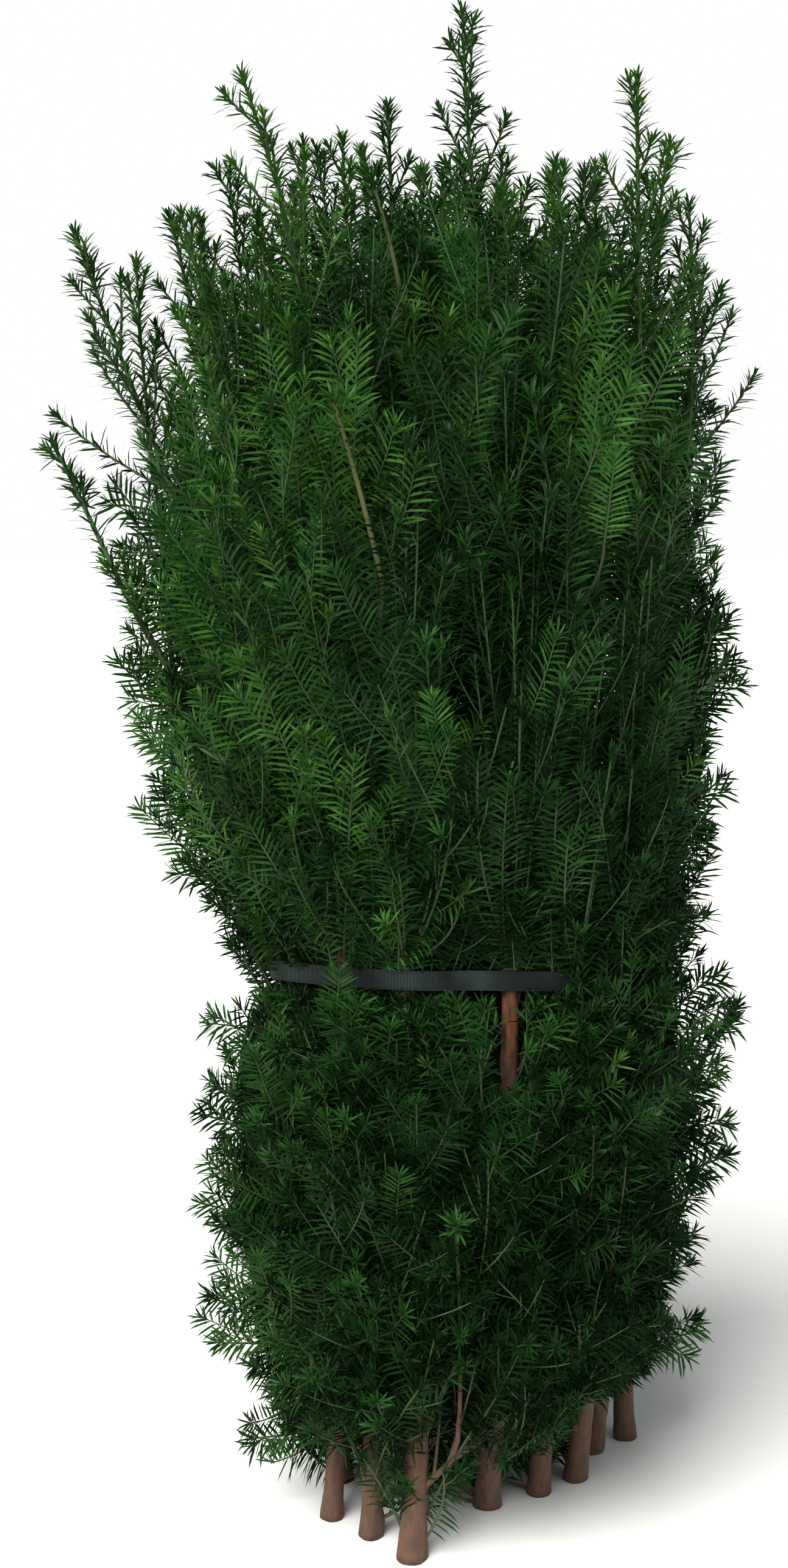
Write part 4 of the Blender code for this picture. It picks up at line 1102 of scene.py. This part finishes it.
def add_lamp(name, height, side, strength, width, colour):
    """A far lamp with a wide face: degrees above the floor, degrees to the right of the front."""
    light = bpy.data.lights.new(name, "SUN")
    light.energy, light.angle, light.color = strength, math.radians(width), colour
    add_object(name, light).rotation_euler = (math.radians(90 - height), 0, math.radians(side))


def make_studio():
    """Wide pale floor, a surround that is white at eye level and dimmer overhead, a large soft
    lamp from the upper left front, a weak one from the right, and the camera.
    """
    scene = bpy.context.scene
    corners = FLOOR_HALF_WIDTH * np.array(((-1.0, -1.0, 0), (1.0, -1.0, 0), (1.0, 1.0, 0), (-1.0, 1.0, 0)))
    floor = add_mesh("studio_floor", corners - UP * 0.5 * MM, np.array(((0, 1, 2, 3),)),
                     plain_material("studio_floor_paint", "#DEDEDC", 0.9), smooth=False)
    scene.world = bpy.data.worlds.new("studio_world")
    scene.world.use_nodes = True
    tree = scene.world.node_tree
    way = add_node(tree, "ShaderNodeTexCoord").outputs["Generated"]
    rise = add_node(tree, "ShaderNodeSeparateXYZ", None, {0: way}).outputs["Z"]
    height = add_node(tree, "ShaderNodeMapRange", {"interpolation_type": "SMOOTHSTEP"},
                      {"Value": rise, "From Min": 0.24, "From Max": 0.42})
    sky = add_node(tree, "ShaderNodeMix", {"data_type": "RGBA"},
                   {"Factor": height, 6: (1.0, 1.0, 1.0, 1.0), 7: (0.10, 0.11, 0.12, 1.0)})
    tree.links.new(sky.outputs[2], tree.nodes["Background"].inputs["Color"])
    add_lamp("key_lamp", 52, -32, 7.0, 45, (1.0, 0.99, 0.96))
    add_lamp("fill_lamp", 30, 55, 0.5, 50, (0.95, 0.98, 1.0))
    scene.view_settings.view_transform = "Standard"
    camera = add_object("camera", bpy.data.cameras.new("camera"))
    camera.location = CAMERA_PLACE
    camera.rotation_euler = (math.pi / 2 - CAMERA_PITCH_DOWN, 0.0, 0.0)
    camera.data.lens = CAMERA_LENS_MM
    camera.data.sensor_width = SENSOR_LONG_SIDE_MM
    camera.data.sensor_fit = "AUTO"
    camera.data.clip_end = 100.0
    scene.camera = camera


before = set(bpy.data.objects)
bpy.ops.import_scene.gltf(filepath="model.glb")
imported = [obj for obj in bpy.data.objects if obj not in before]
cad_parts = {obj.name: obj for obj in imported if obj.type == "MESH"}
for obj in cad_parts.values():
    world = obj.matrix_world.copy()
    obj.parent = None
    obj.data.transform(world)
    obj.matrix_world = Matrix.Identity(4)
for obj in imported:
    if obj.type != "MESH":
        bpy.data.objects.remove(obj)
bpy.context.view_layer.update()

bark = bark_material("scaly_stem_bark", "#2B1911", "#6C3E20", "#4B3A2F", "#27231A", 1.2 * MM)
twig_bark = bark_material("twig_bark", "#26241A", "#3C3826", "#4A4030", "#252A18", 0.4 * MM)
green_bark = bark_material("green_shoot_bark", "#22391A", "#30491F", "#3D4A25", "#2B4520", 0.2 * MM)
straw_bark = bark_material("straw_shoot_bark", "#3C3E20", "#545A2E", "#4C4428", "#4B5229", 0.2 * MM)
# The kinds of green, in the order of their numbers: painted shade, a middle green and painted
# light, copies of one needle green with less gloss in the shade, then the paler green of young growth
greens = (
    needle_material("needles_shaded", "#081707", "#0E210D", 0.03),
    needle_material("needles_mid", "#0E270D", "#183613", 0.08),
    needle_material("needles_bright", "#173610", "#24491A", 0.14),
    needle_material("needles_young", "#224711", "#386220", 0.18),
)
webbing = webbing_material("woven_webbing", "#06080A", "#2F3D3A")

node_names = sorted(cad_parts)
stem_names = [name for name in node_names if name.startswith("stem_") or name == "main_stem"]
bough_names = [name for name in node_names if name.startswith("bough_")]
mass_names = [name for name in node_names if name.startswith(("foliage_", "leader_"))]

stem_lines = [stem_line(name) for name in stem_names]
bough_lines = [bough_line(name, stem_lines) for name in bough_names]
limbs = stem_lines + bough_lines
for names, lines, sides, spacing, relief, seed in ((stem_names, stem_lines, 18, 9 * MM, 0.030, 0),
                                                   (bough_names, bough_lines, 12, 6 * MM, 0.025, 100)):
    for number, (name, line) in enumerate(zip(names, lines)):
        rind = bark if name in stem_names or name == LOW_FORK else twig_bark
        piece = bark_limb(f"{name}_bark", *line, sides, spacing, relief, rind, seed + number)
        settle(piece, [name])

bare_wood = [(at_height(line, 0.0), at_height(line, SEEN_FEET[name]), SEEN_FOOT_HALF_WIDTH)
             for name, line in zip(stem_names, stem_lines) if name in SEEN_FEET]
fork_line = bough_lines[bough_names.index(LOW_FORK)]
bare_wood.append((*(at_height(fork_line, height) for height in SEEN_FORK), SEEN_FORK_HALF_WIDTH))

# Leading shoots on every limb, shoots up the boughs, and more that stand above the mass
limb_tips = np.array([LEADER_TIPS[name] for name in stem_names + bough_names]) / 1000
leader_main, leader_side = leading_shoots(
    np.array([line[0][-1] for line in limbs]), limb_tips, LEADER_RADIUS)
covered = [line[0] for name, line in zip(bough_names, bough_lines) if name != LOW_FORK]
cover_main, _ = leading_shoots(np.array([line[k] for line in covered for k in (1, 4)]),
                               np.array([line[k] for line in covered for k in (4, 7)]), BOUGH_COVER_RADIUS)
cover_main["gap"][:] = 16 * MM
cover_side = side_shoots(cover_main, 0.02, (0.30, 0.32, 0.30), spiral=True)
leader_main, leader_side = join_shoots(leader_main, cover_main), join_shoots(leader_side, cover_side)
leader_side = chosen(leader_side, ~beyond_left_arm(leader_side["tip"]))
standing_root = STANDING_TIPS - (outward_at(STANDING_TIPS) * 0.045 + UP * 0.34)
standing_root += RNG.normal(0, 0.012, standing_root.shape)
extra_main, extra_side = leading_shoots(standing_root, STANDING_TIPS, LEADER_RADIUS * 0.8)

# Shoots that reach out beyond the sides, and the branches of the mass
beside = unit(outward_at(SIDE_TIPS) + UP * by_table(REACHING_RISE, SIDE_TIPS[:, 2])[:, None])
reaching = shoots_from(
    SIDE_TIPS - beside * 0.20, SIDE_TIPS - beside * 0.08, SIDE_TIPS,
    unit(np.array((0.05, -1.0, 0.35)) + RNG.normal(0, 0.2, SIDE_TIPS.shape)), bare=0.35, girth=1.25,
    fountain=0.12, droop=np.where(SIDE_TIPS[:, 2] < LOW_PART_TOP, 0.16, 0.02), gap=44 * MM,
    kind=np.arange(len(SIDE_TIPS)) % 2 + 1)
branches = crown_branches(crown_tips(int(BRANCH_COUNT * (1))))
set_roots(reaching, limbs)
set_roots(branches, limbs)
blocked = passes(branches, hides_strap)
rerooted = chosen(branches, blocked)
set_roots(rerooted, limbs, across_strap=False)
run = rerooted["tip"] - rerooted["root"]
rerooted = chosen(rerooted, np.abs(run[:, 2]) > 0.9 * np.linalg.norm(run[:, :2], axis=1))
branches = clear_of(join_shoots(chosen(branches, ~blocked), rerooted),
                    hides_strap, near_window, over_bare_ground, hides_feet)
reaching = clear_of(reaching, over_bare_ground, hides_feet)

# Young bright shoots, the cover over the strap's ends and edges, bare shoots, and stalks for all
bright = bent_shoots(*BRIGHT_SHOOTS.swapaxes(0, 1), (0, -0.008, 0), unit(np.array((0.0, -1.0, 0.25))),
                     kind=BRIGHT_KINDS, size=0.88, fountain=0.14, bare=0.0, girth=1.1,
                     step=0.7 * NEEDLE_STEP, cross=np.arange(len(BRIGHT_SHOOTS)) == CROSSING_SHOOT)
ends = bent_shoots(*END_SHOOTS.swapaxes(0, 1), UP * -0.012, unit(outward_at(END_SHOOTS[:, 1]) + UP * 0.3),
                   kind=np.arange(len(END_SHOOTS)) % 3, fountain=0.12, bare=0.0, girth=1.1, gap=44 * MM)
ends = join_shoots(ends, *(strap_row(*row) for row in STRAP_ROWS))
ends = clear_of(ends, hides_strap, in_window, over_bare_ground)
end_sides = join_shoots(side_shoots(ends, 0.10, (0.60, 0.50, 0.30)),
                        clothing_shoots(stem_lines), strap_cuffs(stem_lines))
end_sides = clear_of(end_sides, in_window, hides_strap, over_bare_ground, hides_feet)
bare = bent_shoots(*BARE_SHOOTS.swapaxes(0, 1), (0.004, -0.006, 0), (0.0, -1.0, 0.0),
                   girth=BARE_SHOOT_GIRTHS, bare=BARE_SHOOT_SHARE, step=0.5 * NEEDLE_STEP, kind=2,
                   fountain=0.2, round=True)
stalks = join_shoots(stalks_for(bright, 0.06), stalks_for(ends, 0.04), stalks_for(bare, 0.09),
                     stalks_for(extra_main, 0.12))
set_roots(stalks, limbs, across_strap=False)
stalks = clear_of(stalks, hides_strap)

# Side shoots of the mass, without any that reach out beside the waist
sides = join_shoots(side_shoots(branches, 0.30, (0.50, 0.42, 0.20)),
                    side_shoots(reaching, 0.40, (0.30, 0.26, 0.13)))
branches = join_shoots(branches, reaching)
sides = clear_of(sides, hides_strap, in_window, over_bare_ground, hides_feet)
side_height = sides["tip"][:, 2]
sides = chosen(sides, (crown_share(sides["tip"]) < 1.30) | (side_height > 0.9) | (side_height < 0.6))
add_needles(join_shoots(branches, sides, ends, end_sides, leader_main, leader_side, extra_main,
                        extra_side, bright, bare), greens, mass_names)

slim = join_shoots(sides, leader_side, extra_side, bright, ends, end_sides)
stout = join_shoots(leader_main, extra_main)
add_tubes("green_shoots", [
    tubes(branches, (SHOOT_TWIG_RADIUS * 0.9, SHOOT_TIP_RADIUS), GREEN_FROM, 1.0, 4, 6),
    tubes(slim, (SHOOT_TWIG_RADIUS, SHOOT_TIP_RADIUS), 0.0, 1.0, SHOOT_SIDES, 5),
    tubes(stout, (SHOOT_TIP_RADIUS, SHOOT_TIP_RADIUS * 0.62), 0.0, 1.0, 6, 12),
], green_bark, mass_names)
add_tubes("bare_twigs", [
    tubes(branches, (SHOOT_TWIG_RADIUS * 1.6, SHOOT_TWIG_RADIUS * 0.9), 0.0, GREEN_FROM, 4, 5),
    tubes(stalks, (SHOOT_TWIG_RADIUS, SHOOT_TWIG_RADIUS), 0.0, 1.0, 5, 8),
], twig_bark, mass_names)
add_tubes("bare_shoots", [
    tubes(bare, (SHOOT_TWIG_RADIUS, SHOOT_TWIG_RADIUS * 0.6), 0.0, 1.0, 8, 14),
], straw_bark, mass_names)

settle(add_strap(webbing), ["tie_strap"])

make_studio()
